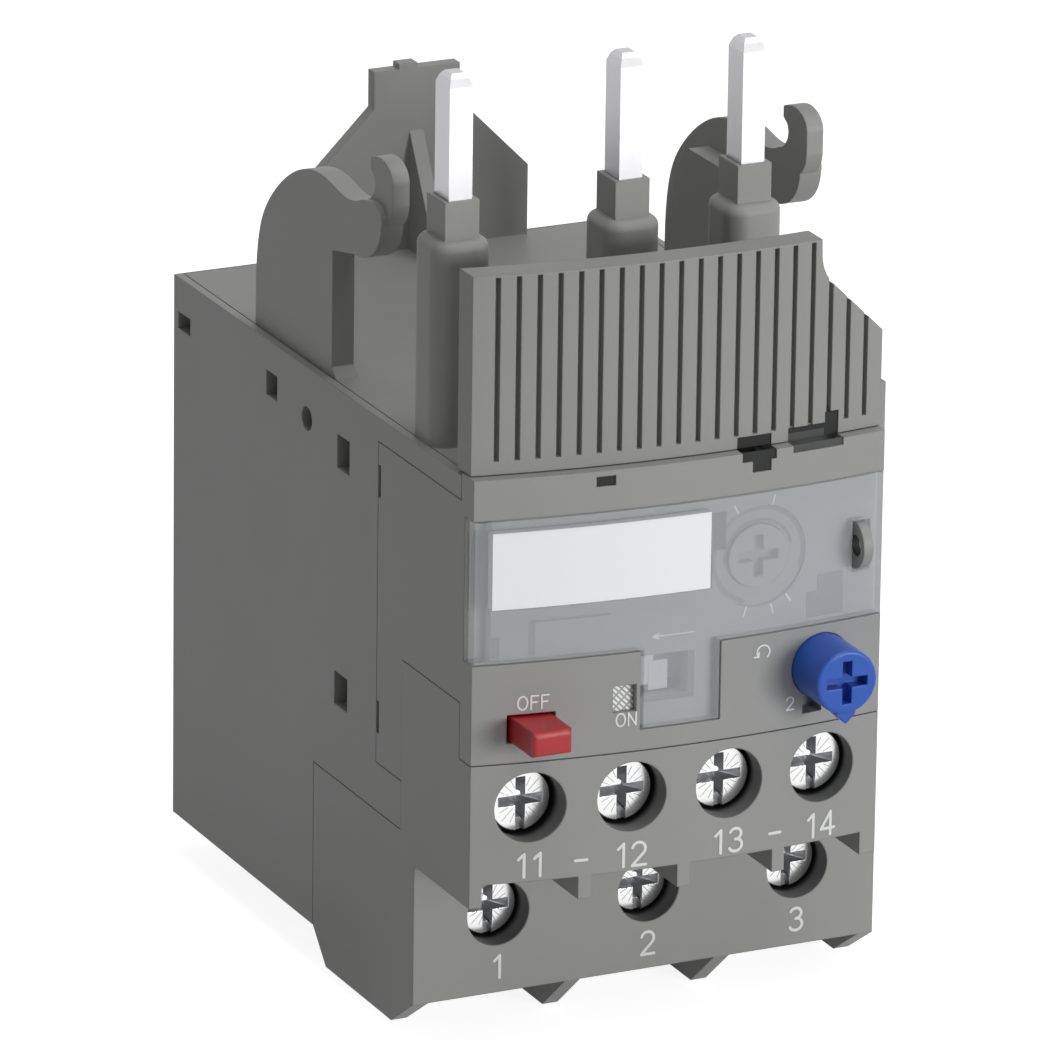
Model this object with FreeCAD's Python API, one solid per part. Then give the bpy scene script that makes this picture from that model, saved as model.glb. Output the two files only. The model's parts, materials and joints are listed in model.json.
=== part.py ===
import FreeCAD, Part
import math
import os

# Thermal overload relay for a three-phase motor, in millimetres.
# x = 0 is the middle of the width, y = 0 the back face, z = 0 the underside of the
# housing.  -y is the operating front, +z points to the contactor that it hangs from.

Vec = FreeCAD.Vector
AXIS_X = Vec(1, 0, 0)
AXIS_Y = Vec(0, 1, 0)
AXIS_Z = Vec(0, 0, 1)

# ---- driving dimensions: casing ------------------------------------------------
body_width = 45.0
body_height = 51.6
left_side = -body_width / 2
terminal_face = -52.6        # y of the main terminal face
terminal_back = -31.3        # y where the terminal block meets the main housing
wall = 1.5                   # wall thickness of the housing
back_wall = 1.8
floor_wall = 1.8
fit_gap = 0.1                # gap between mouldings that seat on each other
top_plate = 2.0
top_edge = 0.8               # side wall left standing beside the top plate

# ---- front panel: a shallow cylinder standing upright --------------------------
panel_right = 16.0           # x of the right edge of the narrower front block
panel_apex = -66.2           # y of the foremost line of the panel
panel_apex_x = 0.4
panel_radius = 112.5
panel_thickness = 3.2
panel_bottom = body_height - 25.5
panel_top = body_height + 0.25
panel_edge = -61.5           # y where the panel's own side edge starts
wing_back = -44.4            # rear edge of the panel's side wing
wing_step_y = -49.7
wing_bottom = body_height - 31.6
wing_mid = body_height - 20.4
wing_top = body_height - 2.2

# ---- auxiliary terminal block --------------------------------------------------
aux_back = -49.7
aux_top = panel_bottom - fit_gap
aux_side_top = wing_mid - fit_gap
aux_floor = body_height - 36.5
aux_rib_bottom = aux_floor - 2.1
terminal_height = aux_floor + 0.3   # height of the main terminal block
aux_rib_width = 1.2
aux_left_rib = 1.1
aux_right_rib = 1.6
aux_first = left_side + 5.3
aux_pitch = (panel_right - 5.7 - aux_first) / 3
aux_x = [aux_first + k * aux_pitch for k in range(4)]
aux_rib_x = [x + 4.35 for x in aux_x[:3]]
aux_z = body_height - 29.7
aux_well_radius = 3.2
aux_head_depth = 2.1

# ---- main terminals ------------------------------------------------------------
pole_margin = 7.9            # from a side wall to an outer pole, less the offset
pole_middle = 0.25
pole_pitch = (body_width - 2 * pole_margin) / 2
pole_x = [pole_middle + (k - 1) * pole_pitch for k in range(3)]
main_z = 7.4
main_well_radius = 3.0
main_head_depth = 2.2
foot_depth = 3.0
foot_width = 1.5
barrier_depth = 3.8
barrier_width = 1.5
foot_front = -48.1

# ---- contact stabs and collars -------------------------------------------------
stab_x = [pole_x[0] - 4.65, pole_x[1] - 3.15, pole_x[2] - 6.05]
stab_y = -51.6
stab_width = 2.2
stab_depth = 2.9
stab_top = body_height + 32.8
stab_taper = 1.1             # height of the tapered tip
stab_inset_x = 0.5
stab_inset_y = 0.75
stab_gap = 0.06
collar_top = body_height + 21.7
collar_width = 3.25
collar_depth = 3.7
column_top = body_height + 18.3
column_width = 5.4
column_depth = 5.6
column_round = 1.7

# ---- hooks and hanger ----------------------------------------------------------
hook_thickness = 2.1
hook_layer = 0.5             # outer layer that stops short of the finger
left_hook_x = left_side + 0.9
right_hook_x = -left_side - 3.8
hanger_x = 0.75
hanger_thickness = 1.4
hanger_top = body_height + 17.1
hanger_shoulder = body_height + 13.6
hanger_half_tab = 4.25
hanger_half_width = 11.2
gusset_width = 1.4
gusset_top = body_height + 11.2
gusset_bend = body_height + 5.0

# ---- ribbed cover --------------------------------------------------------------
rib_apex = -65.1
rib_thickness = 2.7
rib_left = left_side + 0.2
rib_bottom = panel_top + fit_gap
rib_top = body_height + 18.1
rib_slope_z = body_height + 9.0
groove_count = 20
groove_first = rib_left + 2.17
groove_pitch = 1.816
groove_width = 0.45
groove_depth = 0.7
groove_low = rib_bottom + 1.15
groove_high = rib_top - 0.2
tongue_x = [-16.0, -4.0]
tongue_half = 1.6
tongue_thick = 0.7
tongue_reach = 2.0

# ---- clear cover ---------------------------------------------------------------
clear_thickness = 1.1
clear_bottom = body_height - 16.35
clear_top = body_height - 3.55
clear_gap = 0.15
tongue_left = -7.15
tongue_right = -0.05
tongue_bottom = body_height - 23.5
clear_left = left_side + 0.15
clear_hinge_x = left_side + 0.9
clear_hinge_y = -63.0
clear_hinge_radius = 0.4
clear_swing = 1.2            # room that the flap's left edge swings in
hinge_clearance = 0.05
label_left = left_side + 1.7
label_right = -0.95
label_bottom = body_height - 11.6
label_top = body_height - 4.6
lug_x = 13.8
lug_z = body_height - 9.9
lug_half = 0.45
lug_reach = 1.5              # how far the sealing eye stands out of the panel

# ---- controls ------------------------------------------------------------------
stop_x = left_side + 5.25
stop_z = body_height - 22.4
stop_width = 3.7
stop_height = 2.2
stop_front = -69.2
test_left = -7.0
test_right = -2.5
test_low = body_height - 21.2
test_high = body_height - 17.4
test_tab = 1.9
test_travel = 1.8
flag_left = -9.95
flag_right = -7.8
flag_low = body_height - 21.85
flag_high = body_height - 19.4
flag_front = -65.25          # y of the flag's face in its window
flag_back = -64.15           # y of the stem's front, behind the clear flap's recess
flag_thickness = 0.45
flag_drop = 2.35
slider_front = -63.6
slider_plate = -61.5         # y of the slide's front behind the panel
knob_x = 10.0
knob_z = body_height - 20.2
knob_radius = 2.9
knob_front = -70.8
knob_back = -60.45
dial_x = 4.2
dial_z = body_height - 9.73
dial_radius = 2.85
dial_ring_radius = 4.6
dial_ring_depth = 0.4
dial_turn = 270.0
cam_low = 2.2
cam_lift = 0.9

# ---- trip mechanism ------------------------------------------------------------
bimetal_y = -20.0
bimetal_width = 6.0
bimetal_thickness = 0.9
bimetal_root = 12.0
slide_low = body_height - 13.6
slide_high = slide_low + 2.0
bimetal_top = slide_high + 1.0
slide_gap = 0.15
lever_x = -2.0
lever_z = body_height - 13.6
lever_up = 3.4
lever_left = 6.8
strip_x = -left_side - 4.1
strip_pivot_y = -34.0
strip_arm = 14.25
frame_front = -52.4
frame_back = -50.8
frame_low = body_height - 25.2
frame_high = body_height - 6.0
setting_pin_x = dial_x - 13.2
setting_pin_z = dial_z + 3.33
carrier_front = -49.0
carrier_back = -47.4
carrier_low = body_height - 15.0
carrier_high = body_height - 8.9
rod_radius = 1.2
running_gap = 0.05
nc_blade_x = aux_x[0] + 3.95
no_blade_x = aux_x[3] - 3.95
blade_thickness = 0.3
blade_low = body_height - 22.6
blade_high = body_height - 13.6
contact_z = body_height - 18.1
contact_gap = 0.84           # open gap of the normally open pair
finger_width = 0.8
nc_finger_x = nc_blade_x + blade_thickness / 2 + fit_gap + finger_width / 2
no_finger_x = no_blade_x + blade_thickness / 2 + fit_gap + finger_width / 2


# ---- shape helpers -------------------------------------------------------------
def box(x0, x1, y0, y1, z0, z1):
    """A block between two corners."""
    return Part.makeBox(x1 - x0, y1 - y0, z1 - z0, Vec(x0, y0, z0))


def rod_y(x, z, radius, y0, y1):
    """A round bar along y."""
    return Part.makeCylinder(radius, y1 - y0, Vec(x, y0, z), AXIS_Y)


def rod_z(x, y, radius, z0, z1):
    """A round bar along z."""
    return Part.makeCylinder(radius, z1 - z0, Vec(x, y, z0), AXIS_Z)


def prism(points, travel):
    """A closed outline of 3D points pushed along a vector."""
    wire = Part.makePolygon(points + [points[0]])
    return Part.Face(wire).extrude(travel)


def side_plate(outline, x0, x1):
    """An outline in (y, z) given a thickness along x."""
    return prism([Vec(x0, y, z) for y, z in outline], Vec(x1 - x0, 0, 0))


def front_plate(outline, y0, y1):
    """An outline in (x, z) given a thickness along y."""
    return prism([Vec(x, y0, z) for x, z in outline], Vec(0, y1 - y0, 0))


def flat_plate(outline, z0, z1):
    """An outline in (x, y) given a thickness along z."""
    return prism([Vec(x, y, z0) for x, y in outline], Vec(0, 0, z1 - z0))


def joined(shapes):
    """All the shapes as one solid."""
    whole = shapes[0]
    if len(shapes) > 1:
        whole = whole.fuse(shapes[1:])
    return whole.removeSplitter()


def without(shape, tools):
    """The shape with every tool cut out of it."""
    return shape.cut(tools).removeSplitter()


def panel_y(x, apex=panel_apex):
    """y of the curved panel face at x."""
    side = x - panel_apex_x
    return apex + panel_radius - math.sqrt(panel_radius ** 2 - side ** 2)


def curved_face(x0, x1, apex, z):
    """The arc of the panel between two x, at height z."""
    middle = (x0 + x1) / 2
    return Part.Arc(
        Vec(x0, panel_y(x0, apex), z),
        Vec(middle, panel_y(middle, apex), z),
        Vec(x1, panel_y(x1, apex), z),
    ).toShape()


def curved_block(x0, x1, z0, z1, apex, back):
    """A block with a flat back and the panel's curve as its front."""
    low_left = Vec(x0, panel_y(x0, apex), z0)
    low_right = Vec(x1, panel_y(x1, apex), z0)
    edges = [
        curved_face(x0, x1, apex, z0),
        Part.LineSegment(low_right, Vec(x1, back, z0)).toShape(),
        Part.LineSegment(Vec(x1, back, z0), Vec(x0, back, z0)).toShape(),
        Part.LineSegment(Vec(x0, back, z0), low_left).toShape(),
    ]
    return Part.Face(Part.Wire(edges)).extrude(Vec(0, 0, z1 - z0))


def curved_shell(x0, x1, z0, z1, apex, thickness):
    """A plate of even thickness that follows the panel's curve."""
    inner = apex + thickness
    edges = [
        curved_face(x0, x1, apex, z0),
        Part.LineSegment(
            Vec(x1, panel_y(x1, apex), z0), Vec(x1, panel_y(x1, inner), z0)
        ).toShape(),
        curved_face(x0, x1, inner, z0),
        Part.LineSegment(
            Vec(x0, panel_y(x0, inner), z0), Vec(x0, panel_y(x0, apex), z0)
        ).toShape(),
    ]
    wire = Part.Wire(Part.sortEdges(edges)[0])
    return Part.Face(wire).extrude(Vec(0, 0, z1 - z0))


def round_column(x, y, width, depth, radius, z0, z1):
    """An upright bar with rounded corners."""
    bar = box(x - width / 2, x + width / 2, y - depth / 2, y + depth / 2, z0, z1)
    upright = [e for e in bar.Edges if abs(e.tangentAt(e.FirstParameter).z) > 0.99]
    return bar.makeFillet(radius, upright)


def funnel(x, y, z, half_x, half_y, depth, flare):
    """A lead-in that widens downwards from z to z - depth."""
    def ring(level, grow):
        corners = [(-1, -1), (1, -1), (1, 1), (-1, 1)]
        points = [
            Vec(x + a * (half_x + grow), y + b * (half_y + grow), level)
            for a, b in corners
        ]
        return Part.makePolygon(points + [points[0]])
    return Part.makeLoft([ring(z, 0), ring(z - depth, flare)], True, True)


def save(name, shape):
    """Writes one node as a STEP file."""
    if shape.ShapeType != "Solid" and len(shape.Solids) == 1:
        shape = shape.Solids[0]
    shape.exportStep("parts/" + name + ".step")
    print(name, len(shape.Solids), round(shape.Volume, 2), shape.isValid())


# ---- casing --------------------------------------------------------------------
half_width = -left_side
top_low = body_height - top_plate
terminal_gap = terminal_back + fit_gap


def snap_windows(x0, x1):
    """The openings in a side wall where inner mouldings latch."""
    openings = [
        (-3.7, -1.0, 4.8, 3.2),
        (-22.9, -20.5, 5.1, 2.8),
        (-38.4, -35.8, 7.2, 4.1),
        (-38.3, -35.5, 29.2, 26.1),
    ]
    top = body_height
    cuts = [box(x0, x1, y0, y1, top - low, top - high) for y0, y1, low, high in openings]
    cuts.append(Part.makeCylinder(1.1, x1 - x0, Vec(x0, -29.3, top - 4.7), AXIS_X))
    return cuts


def main_housing():
    """Rear casing: back, floor, side walls and the walls between the poles."""
    lower = [(0, 0), (terminal_gap, 0), (terminal_gap, terminal_height + fit_gap)]
    left_outline = lower + [
        (wing_step_y, terminal_height + fit_gap),
        (wing_step_y, wing_bottom - fit_gap),
        (wing_back, wing_bottom - fit_gap),
        (wing_back, wing_top + fit_gap),
        (panel_edge + fit_gap, wing_top + fit_gap),
        (panel_edge + fit_gap, body_height),
        (0, body_height),
    ]
    right_outline = lower + [
        (terminal_face, terminal_height + fit_gap),
        (terminal_face, body_height),
        (0, body_height),
    ]
    upper_y = panel_edge + fit_gap
    pieces = [
        side_plate(left_outline, -half_width, -half_width + wall),
        side_plate(right_outline, half_width - wall, half_width),
        box(-half_width, half_width, -back_wall, 0, 0, body_height),
        box(-half_width, half_width, terminal_gap, 0, 0, floor_wall),
        box(
            panel_right + fit_gap, half_width, terminal_face, terminal_face + wall,
            terminal_height + fit_gap, body_height,
        ),
    ]
    for k in range(2):
        middle = pole_x[k] + pole_pitch / 2
        pieces.append(box(middle - 0.5, middle + 0.5, -28.0, 0, 0, slide_low - 4.0))
    boss = box(
        strip_x - 2.8, half_width, strip_pivot_y - 2.2, strip_pivot_y + 2.2,
        slide_low - 8.0, slide_low - 5.0,
    )
    pieces.append(boss)
    casing = joined(pieces)
    recess = top_low - fit_gap
    cuts = [
        box(
            -half_width + top_edge, half_width - top_edge, upper_y - 1, -fit_gap,
            recess, body_height + 1,
        ),
        rod_z(
            strip_x + 0.3, strip_pivot_y, 0.8 + running_gap, slide_low - 7.0,
            slide_low - 4.0,
        ),
    ]
    cuts += snap_windows(-half_width - 1, -half_width + wall + 0.1)
    cuts += snap_windows(half_width - wall - 0.1, half_width + 1)
    return without(casing, cuts)


def spline(points):
    """A smooth edge through points (y, z) at x = 0."""
    curve = Part.BSplineCurve()
    curve.interpolate([Vec(0, y, body_height + z) for y, z in points])
    return curve.toShape()


def straight(points):
    """Straight edges through points (y, z) at x = 0."""
    corners = [Vec(0, y, body_height + z) for y, z in points]
    return [Part.makeLine(a, b) for a, b in zip(corners, corners[1:])]


def hook_plate(nose, x0, x1):
    """A hook's stem and rounded hump; nose lists the edges of its front end."""
    hump = spline([
        (-16.1, 3.4), (-16.45, 7.4), (-17.5, 10.5), (-19.2, 12.7), (-22.2, 15.2),
        (-25.6, 17.0), (-29.0, 17.75), (-32.0, 17.6), (-34.4, 17.2), (-36.6, 17.3),
        (-38.4, 17.9),
    ])
    jaw = spline([(-42.6, 16.6), (-42.0, 14.8), (-40.3, 13.3), (-37.3, 12.6)])
    edges = straight([(-16.1, -top_plate), (-16.1, 3.4)]) + [hump] + nose + [jaw]
    edges += straight([
        (-37.3, 12.6), (-32.5, 11.6), (-32.5, 0.9), (-33.5, 0.0), (-33.5, -top_plate),
        (-16.1, -top_plate),
    ])
    plate = Part.Face(Part.Wire(edges)).extrude(Vec(x1 - x0, 0, 0))
    plate.translate(Vec(x0, 0, 0))
    return plate


def hook(x0, outer):
    """One hook: a plate with a forward finger and a blunt layer on its outer side."""
    finger = [
        spline([(-38.4, 17.9), (-39.6, 18.5), (-40.2, 19.6), (-39.9, 20.5)]),
        *straight([(-39.9, 20.5), (-39.2, 20.9), (-39.2, 21.9)]),
        spline([(-39.2, 21.9), (-40.8, 22.35), (-42.5, 22.15), (-43.5, 21.5),
                (-43.8, 20.4)]),
        *straight([(-43.8, 20.4), (-43.8, 18.6)]),
        spline([(-43.8, 18.6), (-43.4, 17.4), (-42.6, 16.6)]),
    ]
    blunt = [spline([
        (-38.4, 17.9), (-40.3, 18.3), (-41.9, 18.1), (-42.6, 17.4), (-42.6, 16.6),
    ])]
    x1 = x0 + hook_thickness
    if outer < 0:
        return [
            hook_plate(finger, x0 + hook_layer, x1),
            hook_plate(blunt, x0, x0 + hook_layer),
        ]
    return [
        hook_plate(finger, x0, x1 - hook_layer),
        hook_plate(blunt, x1 - hook_layer, x1),
    ]


def hanger():
    """The tall plate at the back with its middle gusset and top nub."""
    low = top_low
    shoulder_drop = hanger_half_width - hanger_half_tab
    right = [
        (hanger_half_width, low),
        (hanger_half_width, hanger_shoulder - shoulder_drop),
        (hanger_half_tab, hanger_shoulder),
        (hanger_half_tab, hanger_top),
    ]
    left = [(-x, z) for x, z in reversed(right)]
    outline = [(hanger_x + x, z) for x, z in right + left]
    plate = front_plate(outline, -hanger_thickness, -fit_gap)
    nub = box(
        hanger_x - 1.8, hanger_x, -hanger_thickness, -fit_gap, hanger_top - 1,
        hanger_top + 0.5,
    )
    gusset = side_plate(
        [(-fit_gap, low), (-7.4, low), (-7.4, body_height + 0.3), (-4.9, gusset_bend),
         (-hanger_thickness, gusset_top), (-fit_gap, gusset_top)],
        hanger_x - gusset_width / 2, hanger_x + gusset_width / 2,
    )
    return [plate, nub, gusset]


def top_carrier():
    """Top plate with the stab columns, both hooks and the hanger plate."""
    side = half_width - top_edge - fit_gap
    plate = joined([
        box(-side, side, terminal_face + fit_gap, -2 * fit_gap, top_low, body_height),
        curved_block(
            -side, panel_right - fit_gap, top_low, body_height,
            rib_apex + rib_thickness + fit_gap, terminal_face + 1,
        ),
    ])
    pieces = [plate] + hook(left_hook_x, -1) + hook(right_hook_x, 1) + hanger()
    top = body_height
    pieces.append(side_plate(
        [(-21.2, top_low), (-21.2, top + 7.0), (-21.6, top + 9.8), (-22.4, top + 12.0),
         (-23.6, top + 13.7), (-24.6, top + 14.1), (-33.0, top + 14.1), (-33.0, top + 9.0),
         (-34.4, top + 8.4), (-34.4, top_low)],
        right_hook_x - 2.0, right_hook_x + 0.5,
    ))
    for x in stab_x:
        column = round_column(
            x, stab_y, column_width, column_depth, column_round, top_low, column_top
        )
        rim = [e for e in column.Edges if e.CenterOfMass.z > column_top - 0.01]
        pieces.append(column.makeFillet(0.9, rim))
        pieces.append(box(
            x - collar_width / 2, x + collar_width / 2,
            stab_y - collar_depth / 2, stab_y + collar_depth / 2,
            column_top - 1, collar_top,
        ))
    carrier = joined(pieces)
    cuts = [stab_slot(x) for x in stab_x]
    for x in tongue_x:
        cuts.append(box(
            x - tongue_half - fit_gap, x + tongue_half + fit_gap, panel_apex,
            tongue_front(x) + tongue_thick + 2 * fit_gap, top_low - 1, body_height + 1,
        ))
    return without(carrier, cuts)


def tongue_front(x):
    """y of the front of a tongue that reaches down behind the panel."""
    inner = panel_apex + panel_thickness
    ends = [panel_y(x - tongue_half, inner), panel_y(x + tongue_half, inner)]
    return max(ends) + fit_gap


def stab_slot(x):
    """The opening that a stab passes through."""
    half_x = stab_width / 2 + stab_gap
    half_y = stab_depth / 2 + stab_gap
    return box(
        x - half_x, x + half_x, stab_y - half_y, stab_y + half_y, top_low - 1,
        collar_top + 1,
    )


def terminal_housing():
    """Front moulding with the main and the auxiliary terminals."""
    pieces = [
        box(-half_width, half_width, terminal_face, terminal_back, 0, terminal_height),
        curved_block(
            -half_width, panel_right, aux_floor, aux_top, panel_apex, aux_back
        ),
    ]
    for x0, x1 in [(-half_width, -half_width + wall), (panel_right - wall, panel_right)]:
        pieces.append(box(x0, x1, panel_edge, aux_back, aux_floor, aux_side_top))
    ribs = [(x, x + aux_rib_width) for x in aux_rib_x]
    ribs.append((-half_width, -half_width + aux_left_rib))
    ribs.append((panel_right - aux_right_rib, panel_right))
    for x0, x1 in ribs:
        pieces.append(curved_block(
            x0, x1, aux_rib_bottom, aux_floor + 0.5, panel_apex, terminal_face + 0.5
        ))
    pieces += feet()
    block = joined(pieces)
    cuts = []
    for x in pole_x:
        cuts += main_cell(x)
    for x in aux_x:
        cuts += aux_cell(x)
    return without(block, cuts)


def feet():
    """Wings at the sides and barriers between the poles, under the terminals."""
    def foot(depth):
        run = depth * 0.95
        return [
            (terminal_back, 0.5), (terminal_back, 0), (terminal_back - run, -depth),
            (foot_front, -depth), (terminal_face, 0), (terminal_face, 0.5),
        ]
    pieces = [
        side_plate(foot(foot_depth), -half_width, -half_width + foot_width),
        side_plate(foot(foot_depth), half_width - foot_width, half_width),
    ]
    for k in range(2):
        middle = pole_x[k] + pole_pitch / 2
        pieces.append(side_plate(
            foot(barrier_depth), middle - barrier_width / 2, middle + barrier_width / 2
        ))
    return pieces


# ---- terminals: one set of proportions for each of the two sizes ----------------
class Terminal:
    """A screw terminal: all y values count from the screw head's front face."""

    def __init__(self, head, head_height, shank, reach, bar, gap, half_cage,
                 cage_wall, cage_low, cage_high, travel, half_bar):
        self.head = head
        self.head_height = head_height
        self.shank = shank
        self.reach = reach
        self.bar = bar
        self.gap = gap
        self.half_cage = half_cage
        self.cage_wall = cage_wall
        self.cage_low = cage_low
        self.cage_high = cage_high
        self.travel = travel
        self.half_bar = half_bar
        self.bar_front = reach + fit_gap
        self.bar_back = self.bar_front + bar
        self.cage_inner = self.bar_back + gap
        self.cage_front = self.head_height + 0.4 + travel


main_terminal = Terminal(
    head=2.75, head_height=1.8, shank=1.75, reach=9.1, bar=1.2, gap=4.8,
    half_cage=4.2, cage_wall=0.9, cage_low=-4.0, cage_high=3.0, travel=4.0,
    half_bar=2.4,
)
aux_terminal = Terminal(
    head=2.9, head_height=1.5, shank=1.5, reach=6.3, bar=0.7, gap=4.3,
    half_cage=2.9, cage_wall=0.7, cage_low=-3.3, cage_high=2.9, travel=3.4,
    half_bar=1.7,
)
main_head = terminal_face + main_head_depth


def aux_head(x):
    """y of an auxiliary screw head's front face."""
    return panel_y(x) + aux_head_depth


def cell(kind, x, z, head, back, high):
    """The hollow that holds a clamp, and the wire's way in from below."""
    half = kind.half_cage + 0.25
    front = head + kind.head_height + 0.05
    low = z + kind.cage_low - 0.4
    middle = head + (kind.bar_back + kind.cage_inner) / 2
    half_way = (kind.cage_inner - kind.bar_back) / 2
    return [
        box(x - half, x + half, front, back, low, high),
        box(
            x - kind.half_cage + kind.cage_wall, x + kind.half_cage - kind.cage_wall,
            middle - half_way, middle + half_way, low - 4, low + 1,
        ),
    ]


def main_cell(x):
    """Well, clamp hollow and wire funnel of a main terminal."""
    kind = main_terminal
    middle = main_head + (kind.bar_back + kind.cage_inner) / 2
    half_way = (kind.cage_inner - kind.bar_back) / 2
    well = rod_y(
        x, main_z, main_well_radius, terminal_face - 1, main_head + kind.head_height + 1
    )
    lead_in = funnel(
        x, middle, 1.2, kind.half_cage - kind.cage_wall, half_way, 1.3, 0.8
    )
    hollow = cell(kind, x, main_z, main_head, terminal_back + 1, 12.0)
    return [well, lead_in] + hollow


def aux_cell(x):
    """Well, clamp hollow and bar slot of an auxiliary terminal."""
    kind = aux_terminal
    head = aux_head(x)
    well = rod_y(
        x, aux_z, aux_well_radius, panel_apex - 1, head + kind.head_height + 0.5
    )
    slot = box(
        x - kind.half_bar - 0.2, x + kind.half_bar + 0.2, head + kind.bar_front - 0.2,
        head + kind.bar_back + 0.2, aux_z, aux_top + 1,
    )
    hollow = cell(kind, x, aux_z, head, aux_back + 1, aux_z + kind.cage_high + 0.4)
    return [well, slot] + hollow


def terminal_screw(kind, x, z, head):
    """A captive clamp screw with a cross recess and a slot."""
    start = head
    screw = joined([
        rod_y(x, z, kind.head, start, start + kind.head_height),
        rod_y(x, z, kind.shank, start + kind.head_height - 0.5, start + kind.reach),
    ])
    rim = [e for e in screw.Edges if abs(e.CenterOfMass.y - start) < 0.01]
    screw = screw.makeFillet(0.35, rim)
    long_half = kind.head * 0.62
    recess = [
        box(x - 0.4, x + 0.4, start - 1, start + 1.0, z - long_half, z + long_half),
        box(x - long_half, x + long_half, start - 1, start + 1.0, z - 0.4, z + 0.4),
    ]
    return without(screw, recess)


def terminal_clamp(kind, x, z, head):
    """The cage that the screw draws forward to grip the wire."""
    front = head + kind.cage_front
    back = head + kind.cage_inner + kind.cage_wall
    low = z + kind.cage_low
    high = z + kind.cage_high
    inner = kind.half_cage - kind.cage_wall
    block = box(x - kind.half_cage, x + kind.half_cage, front, back, low, high)
    upright = [e for e in block.Edges if abs(e.tangentAt(e.FirstParameter).z) > 0.99]
    block = block.makeFillet(0.5, upright)
    window = box(
        x - inner, x + inner, front + kind.cage_wall, back - kind.cage_wall, low - 1,
        high + 1,
    )
    bore = rod_y(x, z, kind.shank + running_gap, front - 1, front + kind.cage_wall + 1)
    return without(block, [window, bore])


def main_bar(x):
    """Current bar from a main clamp back to the foot of the bimetal."""
    kind = main_terminal
    front = main_head + kind.bar_front
    back = main_head + kind.bar_back
    low = main_z + kind.cage_low - 0.1
    foot_back = bimetal_y + bimetal_width / 2
    return joined([
        box(x - kind.half_bar, x + kind.half_bar, front, back, low, 11.9),
        box(x - 4.3, x + 4.3, front, terminal_back, 10.8, 11.9),
        box(x - 2.0, x + 2.0, terminal_back - 1, foot_back, 10.8, 11.9),
    ])


# ---- front cover and what it carries -------------------------------------------
def front_cover():
    """Control panel with its side wing, recess and openings."""
    panel = curved_shell(
        -half_width, panel_right, panel_bottom, panel_top, panel_apex, panel_thickness
    )
    land = box(
        -half_width - 1, -half_width + wall + fit_gap, panel_edge - fit_gap,
        panel_edge + 5, panel_bottom - 1, panel_top + 1,
    )
    panel = panel.cut(land)
    wing_outline = [
        (panel_y(-half_width) + 1.0, panel_bottom),
        (panel_edge - fit_gap, panel_bottom), (panel_edge - fit_gap, wing_mid),
        (wing_step_y, wing_mid), (wing_step_y, wing_bottom), (wing_back - fit_gap, wing_bottom),
        (wing_back - fit_gap, wing_top), (panel_edge, wing_top), (panel_edge, panel_top),
        (panel_y(-half_width) + 1.0, panel_top),
    ]
    right_outline = [
        (panel_y(panel_right) + 1.0, panel_bottom),
        (panel_edge - fit_gap, panel_bottom), (panel_edge - fit_gap, wing_mid),
        (terminal_face - fit_gap, wing_mid), (terminal_face - fit_gap, top_low - 0.2),
        (panel_y(panel_right) + 2.4, top_low - 0.2), (panel_y(panel_right) + 2.4, panel_top),
        (panel_y(panel_right) + 1.0, panel_top),
    ]
    cover = joined([
        panel,
        side_plate(wing_outline, -half_width, -half_width + wall),
        side_plate(right_outline, panel_right - wall, panel_right),
    ])
    floor = panel_apex + clear_thickness + clear_gap
    far = panel_apex - 3
    recess = curved_shell(
        -half_width - 1, panel_right + 1, clear_bottom - clear_gap,
        clear_top + clear_gap, far, floor - far,
    )
    tongue_recess = curved_shell(
        tongue_left - 2 * clear_gap, tongue_right + clear_gap, tongue_bottom - clear_gap,
        clear_bottom, far, floor - far,
    )
    deep = panel_apex + 6
    cuts = [
        recess,
        tongue_recess,
        rod_z(
            clear_hinge_x, clear_hinge_y, clear_swing, clear_bottom - clear_gap,
            clear_top + clear_gap,
        ),
        rod_z(
            clear_hinge_x, clear_hinge_y, clear_hinge_radius + hinge_clearance,
            clear_bottom - 1.0, clear_top + 1.0,
        ),
        box(
            stop_x - stop_width / 2 - 0.3, stop_x + stop_width / 2 + 0.3, far, deep,
            stop_z - stop_height / 2 - 0.2, stop_z + stop_height / 2 + 0.2,
        ),
        box(test_left, test_right, far, deep, test_low, test_high),
        box(flag_left, flag_right, far, deep, flag_low, flag_high),
        box(
            flag_left - 0.2, flag_right + 0.15, flag_front - fit_gap, deep,
            flag_low - flag_drop - 0.3, flag_high + flag_drop + 0.2,
        ),
        box(
            flag_left - 0.25, flag_right + 0.6, flag_back - fit_gap, deep,
            flag_low - flag_drop - 0.3, lever_z + 1.7,
        ),
        box(
            test_left - test_travel - 0.4, test_right + 0.2, slider_front - fit_gap, deep,
            test_low - 0.2, test_high + 0.2,
        ),
        rod_y(dial_x, dial_z, dial_radius + running_gap, far, deep),
        rod_y(knob_x, knob_z, knob_radius + running_gap, far, deep),
        rod_y(dial_x, dial_z, dial_ring_radius, far, panel_y(dial_x, floor) + dial_ring_depth),
        box(
            knob_x - 1.8, knob_x + 0.1, far, panel_apex + 2.2, knob_z - 4.2,
            knob_z - 2.6,
        ),
        box(-11.75, -10.0, far, panel_apex + 2.2, panel_top - 1.4, panel_top - 0.5),
        box(1.8, 5.1, far, deep, panel_top - 0.85, panel_top + 1),
        box(2.8, 4.6, far, deep, panel_top - 1.85, panel_top - 0.75),
        box(6.75, 11.75, far, deep, panel_top - 0.65, panel_top + 1),
    ]
    for z in (wing_top - 5.0, wing_bottom + 2.7):
        cuts.append(box(-half_width - 1, -half_width + 2, wing_back - 0.6, wing_back, z, z + 3))
    cover = without(cover, cuts)
    return joined([cover] + sealing_lug() + [spring_post()])


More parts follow.
